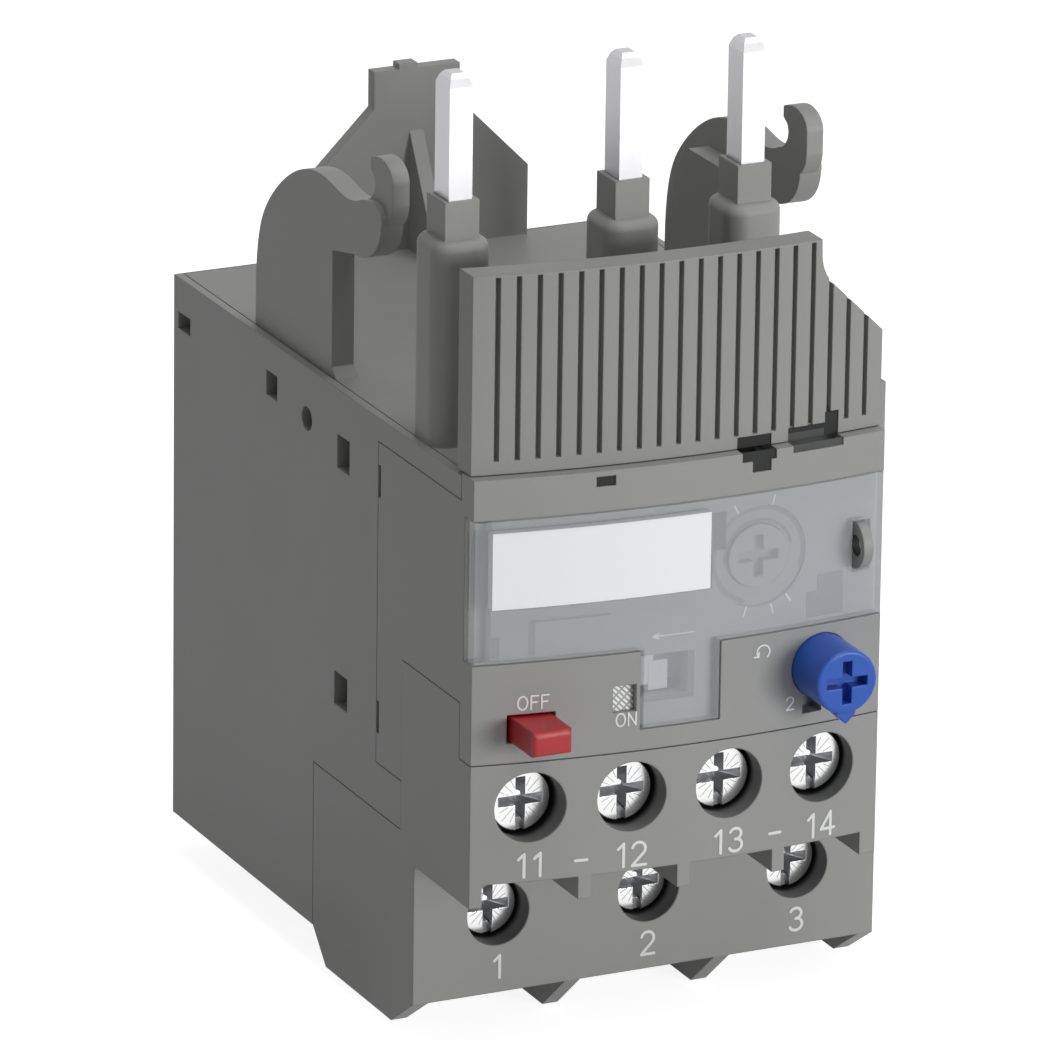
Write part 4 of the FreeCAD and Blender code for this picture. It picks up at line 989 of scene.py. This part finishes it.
# ---- stage, light and camera -----------------------------------------------------------------
def stage_material(name, colour, glow, mirrored):
    """Pale stage surface: lit softly, and evened towards white for the camera and gloss."""
    made, tree = material(name)
    rays = add(tree, "ShaderNodeLightPath").outputs
    straight = add(
        tree, "ShaderNodeMath", {"operation": "MULTIPLY"}, {1: glow},
        {0: rays["Is Camera Ray"]},
    )
    bounced = add(
        tree, "ShaderNodeMath", {"operation": "MAXIMUM"},
        links={0: rays["Is Glossy Ray"], 1: rays["Is Transmission Ray"]},
    )
    bounced = add(
        tree, "ShaderNodeMath", {"operation": "MULTIPLY"}, {1: mirrored},
        {0: bounced.outputs[0]},
    )
    share = add(
        tree, "ShaderNodeMath", {"operation": "MAXIMUM"},
        links={0: straight.outputs[0], 1: bounced.outputs[0]},
    )
    paint = add(tree, "ShaderNodeBsdfDiffuse", values={"Color": linear(colour)})
    light = add(
        tree, "ShaderNodeEmission", values={"Color": linear("#ffffff")},
        links={"Strength": share.outputs[0]},
    )
    both = add(
        tree, "ShaderNodeAddShader", links={0: paint.outputs[0], 1: light.outputs[0]}
    )
    finish_surface(tree, both)
    return made


def build_stage():
    """A wide pale floor under the lowest point of the relay."""
    reach = 6.0
    floor_z = object_low.z - 0.2 * MM

    def sheet(work):
        corners = [(-reach, -reach), (reach, -reach), (reach, reach), (-reach, reach)]
        work.faces.new([work.verts.new((x, y, floor_z)) for x, y in corners])

    floor = bpy.data.objects.new("floor", from_bmesh("floor", sheet))
    bpy.context.scene.collection.objects.link(floor)
    floor.data.materials.append(stage_material("pale_floor", "#cacaca", 0.88, 0.66))


def build_world(level):
    """An even pale sky: white where the camera or a gloss sees it, softer as light."""
    world = bpy.data.worlds.new("studio")
    bpy.context.scene.world = world
    world.use_nodes = True
    tree = world.node_tree
    tree.nodes.clear()
    rays = add(tree, "ShaderNodeLightPath").outputs
    seen = add(
        tree, "ShaderNodeMath", {"operation": "MAXIMUM"},
        links={0: rays["Is Camera Ray"], 1: rays["Is Glossy Ray"]},
    )
    seen = add(
        tree, "ShaderNodeMath", {"operation": "MAXIMUM"},
        links={0: seen.outputs[0], 1: rays["Is Transmission Ray"]},
    )
    soft = add(tree, "ShaderNodeBackground", values={"Color": (1, 1, 1, 1), "Strength": level})
    white = add(tree, "ShaderNodeBackground", values={"Color": (1, 1, 1, 1), "Strength": 1.0})
    mix = add(
        tree, "ShaderNodeMixShader",
        links={0: seen.outputs[0], 1: soft.outputs[0], 2: white.outputs[0]},
    )
    add(tree, "ShaderNodeOutputWorld", links={"Surface": mix.outputs[0]})


def area_light(name, place, target, size, power):
    """A square soft light aimed at a point."""
    lamp = bpy.data.lights.new(name, "AREA")
    lamp.size = size
    lamp.energy = power
    holder = bpy.data.objects.new(name, lamp)
    holder.location = place
    aim = Vector(target) - Vector(place)
    holder.rotation_euler = aim.to_track_quat("-Z", "Y").to_euler()
    bpy.context.scene.collection.objects.link(holder)


def build_camera():
    """A long lens from the front left and above."""
    right = Vector((0.9042, -0.4269, 0.0131)).normalized()
    back = Vector((-0.4074, -0.8531, 0.3260)).normalized()
    up = back.cross(right).normalized()
    right = up.cross(back).normalized()
    lens = bpy.data.cameras.new("camera")
    lens.lens = 359.15
    lens.sensor_width = 36.0
    lens.clip_start = 0.05
    lens.clip_end = 30.0
    view = bpy.data.objects.new("camera", lens)
    turn = Matrix((right, up, back)).transposed().to_4x4()
    view.matrix_world = Matrix.Translation((-0.382813, -0.829121, 0.339439)) @ turn
    bpy.context.scene.collection.objects.link(view)
    bpy.context.scene.camera = view


def build_studio():
    """Floor, sky, two soft lights and the camera."""
    middle = (object_low + object_high) / 2
    build_stage()
    build_world(0.18)
    area_light("key", (0.45, -1.0, 0.06), middle, 0.5, 10.3)
    area_light("top", (0.1, -0.25, 1.0), middle, 0.6, 3.8)
    build_camera()


bpy.context.scene.view_settings.view_transform = "Standard"
dress_frame()
terminal_screws()
shaded_wells()
markings()
dial_scale()
bed_shade_marks()
notch_shade_films()
shaded_eye()
slide_pad()
build_studio()
